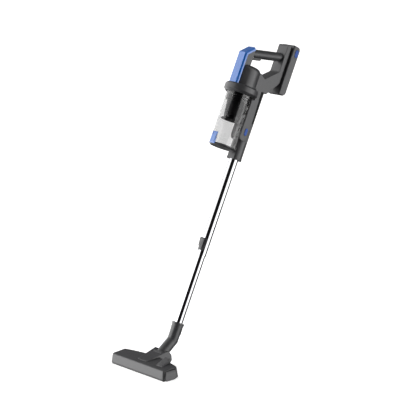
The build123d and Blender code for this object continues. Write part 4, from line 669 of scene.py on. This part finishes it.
class VACUUM_OT_shadow_strips(bpy.types.Operator):
    """Lets a tapered black strip into each side of the column, behind the frame: painted shadow that stands
    in for the shade in the gap between the frame's side panel and the column
    """

    bl_idname = "vacuum.inlays"
    bl_label = "Column inlays"

    def execute(self, context):
        trim = context.scene.vacuum_trim
        up = stick_up()
        back = up.cross(Vector((1, 0, 0)))
        # The column's flat side lies flush with the frame's
        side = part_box("frame_left")[1].x
        flush = [vert.co for vert in frame["nodes"]["wand_socket"].data.vertices
                 if abs(vert.co.x - side) < TOUCH]
        rear = max(place.dot(back) for place in flush)
        top = max(place.dot(up) for place in flush) - trim.shadow_strip_edge
        middle = Vector((side, 0, 0)) + up * (top - trim.shadow_strip_long / 2)
        middle += back * (rear - trim.shadow_strip_edge - trim.shadow_strip_wide / 2)
        # Half of the bar is let into the column
        bar = (2 * trim.shadow_strip_proud, trim.shadow_strip_wide, trim.shadow_strip_long)
        shadow_strip = start(bpy.ops.mesh.primitive_cube_add, size=1.0, location=middle, rotation=stick_turn(up),
                      scale=bar)
        apply_scale()
        bpy.ops.object.mode_set(mode="EDIT")
        # The lower end narrows towards the rear, and the outer edges are broken
        pick(shadow_strip, "verts", lambda vert: vert.co.y < 0 and vert.co.z < 0)
        bpy.ops.transform.translate(value=back * trim.shadow_strip_taper)
        bpy.ops.mesh.select_mode(type="EDGE")
        pick(shadow_strip, "edges", lambda edge: all(vert.co.x > 0 for vert in edge.verts))
        bpy.ops.mesh.bevel(offset=trim.shadow_strip_round, segments=2, affect="EDGES")
        # A shallow channel runs down its middle
        bpy.ops.mesh.select_mode(type="FACE")
        pick(shadow_strip, "faces", lambda face: face.normal.x > FLAT_ON)
        bpy.ops.mesh.inset(thickness=trim.channel_margin, depth=0)
        bpy.ops.mesh.inset(thickness=trim.channel_slope, depth=-trim.channel_deep)
        bpy.ops.object.mode_set(mode="OBJECT")
        apply_place()
        other = shadow_strip.modifiers.new("other side", "MIRROR")
        bpy.ops.object.modifier_apply(modifier=other.name)
        # The mirrored side's faces are made to point outwards as well
        bpy.ops.object.mode_set(mode="EDIT")
        bpy.ops.mesh.select_all(action="SELECT")
        bpy.ops.mesh.normals_make_consistent(inside=False)
        bpy.ops.object.mode_set(mode="OBJECT")
        # Painted shadow: a matt near black with little shine, which stays dark between the grey walls where
        # the gap behind the frame lies in shade
        settle(shadow_strip, "column_inlays", "hand_unit", moulded(
            "black_abs_matt", "#0d0d0e", "#121213", rough=0.55, shine=0.12, **SATIN_GRAIN))
        return {"FINISHED"}


class VACUUM_OT_screen(bpy.types.Operator):
    """Wraps the cyclone's slotted cone in a fine steel screen"""

    bl_idname = "vacuum.screen"
    bl_label = "Cyclone screen"

    def execute(self, context):
        trim = context.scene.vacuum_trim
        up = stick_up()
        low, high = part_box("cup_seal")
        top = (low + high) / 2
        height = trim.screen_low - trim.screen_high
        screen = start(
            bpy.ops.mesh.primitive_cone_add, vertices=SCREEN_SIDES, radius1=trim.screen_low_radius,
            radius2=trim.screen_high_radius, depth=height, end_fill_type="NOTHING",
            location=top - up * (trim.screen_low + trim.screen_high) / 2, rotation=stick_turn(up))
        # Both ends are hemmed outwards
        bpy.ops.object.mode_set(mode="EDIT")
        bpy.ops.mesh.select_mode(type="EDGE")
        rim = height / 2 - TOUCH
        for end in (-1, 1):
            pick(screen, "edges", lambda edge: all(vert.co.z * end > rim for vert in edge.verts))
            bpy.ops.mesh.extrude_region_move()
            bpy.ops.transform.resize(value=(HEM_SPREAD, HEM_SPREAD, 1.0), center_override=screen.location)
        bpy.ops.object.mode_set(mode="OBJECT")
        wall = screen.modifiers.new("wall", "SOLIDIFY")
        wall.thickness = trim.screen_wall
        wall.offset = 1.0
        bpy.ops.object.modifier_apply(modifier=wall.name)
        # Woven steel wire, blackened: a fine dark mesh with a metal glint
        settle(screen, "cyclone_screen", "hand_unit", woven_screen(
            "blackened_steel_gauze", "#0b0b0c", "#1c1c1f", wire_mm=0.2))
        return {"FINISHED"}


class VACUUM_OT_stage(bpy.types.Operator):
    """Sets the floor, the studio light and the camera"""

    bl_idname = "vacuum.stage"
    bl_label = "Stage"

    def execute(self, context):
        view = context.scene.vacuum_view
        across = Vector((math.cos(view.azimuth), math.sin(view.azimuth), 0))
        toward = Vector((math.sin(view.azimuth), -math.cos(view.azimuth), 0))
        aim = Vector((0, view.aim_back, view.aim_height)) + across * view.aim_side
        outward = toward * math.cos(view.elevation) + Vector((0, 0, math.sin(view.elevation)))

        floor = start(bpy.ops.mesh.primitive_plane_add, size=FLOOR_WIDTH)
        floor.name = "floor"
        floor.data.materials.append(paper_sweep("white_paper_sweep"))
        # The walls light the object, and the paper only backs it
        floor.visible_diffuse = False
        floor.visible_glossy = False

        bpy.ops.object.camera_add(location=aim + outward * view.distance,
                                  rotation=outward.to_track_quat("Z", "Y").to_euler())
        camera = context.object
        camera.data.sensor_width = SENSOR_WIDTH
        camera.data.lens = SENSOR_WIDTH * view.focal_pixels / IMAGE_WIDTH
        camera.data.clip_end = SIGHT_LIMIT
        context.scene.camera = camera

        for name, side, size, power in SOFTBOXES:
            spot = aim + across * side * LAMP_ASIDE + toward * LAMP_AHEAD
            bpy.ops.object.light_add(type="AREA", location=spot,
                                     rotation=(spot - aim).to_track_quat("Z", "Y").to_euler())
            lamp = context.object
            lamp.name = name
            lamp.data.energy = power
            lamp.data.size = size
        context.scene.world = studio_world("studio", across, toward)
        context.scene.view_settings.view_transform = "Standard"
        return {"FINISHED"}


class VACUUM_PT_panel(bpy.types.Panel):
    """Lists the pieces of the look, and the colours, sizes and view that they take"""

    bl_label = "Stick vacuum"
    bl_idname = "VACUUM_PT_panel"
    bl_space_type = "VIEW_3D"
    bl_region_type = "UI"
    bl_category = "Vacuum"

    def draw(self, context):
        scene = context.scene
        for operator in OPERATORS:
            self.layout.operator(operator.bl_idname)
        for group in (scene.vacuum_finish, scene.vacuum_trim, scene.vacuum_view):
            box = self.layout.box()
            for setting in type(group).__annotations__:
                box.prop(group, setting)


GROUPS = (VacuumFinish, VacuumTrim, VacuumView)
OPERATORS = (
    VACUUM_OT_finishes, VACUUM_OT_bristles, VACUUM_OT_ridges, VACUUM_OT_shadow_strips, VACUUM_OT_screen,
    VACUUM_OT_stage,
)
CLASSES = GROUPS + OPERATORS + (VACUUM_PT_panel,)


def register():
    for cls in CLASSES:
        bpy.utils.register_class(cls)
    bpy.types.Scene.vacuum_finish = bpy.props.PointerProperty(type=VacuumFinish)
    bpy.types.Scene.vacuum_trim = bpy.props.PointerProperty(type=VacuumTrim)
    bpy.types.Scene.vacuum_view = bpy.props.PointerProperty(type=VacuumView)


def unregister():
    del bpy.types.Scene.vacuum_view
    del bpy.types.Scene.vacuum_trim
    del bpy.types.Scene.vacuum_finish
    for cls in reversed(CLASSES):
        bpy.utils.unregister_class(cls)


def main():
    register()
    for step in ("finishes", "bristles", "ridges", "inlays", "screen", "stage"):
        getattr(bpy.ops.vacuum, step)()


if __name__ == "__main__":
    main()
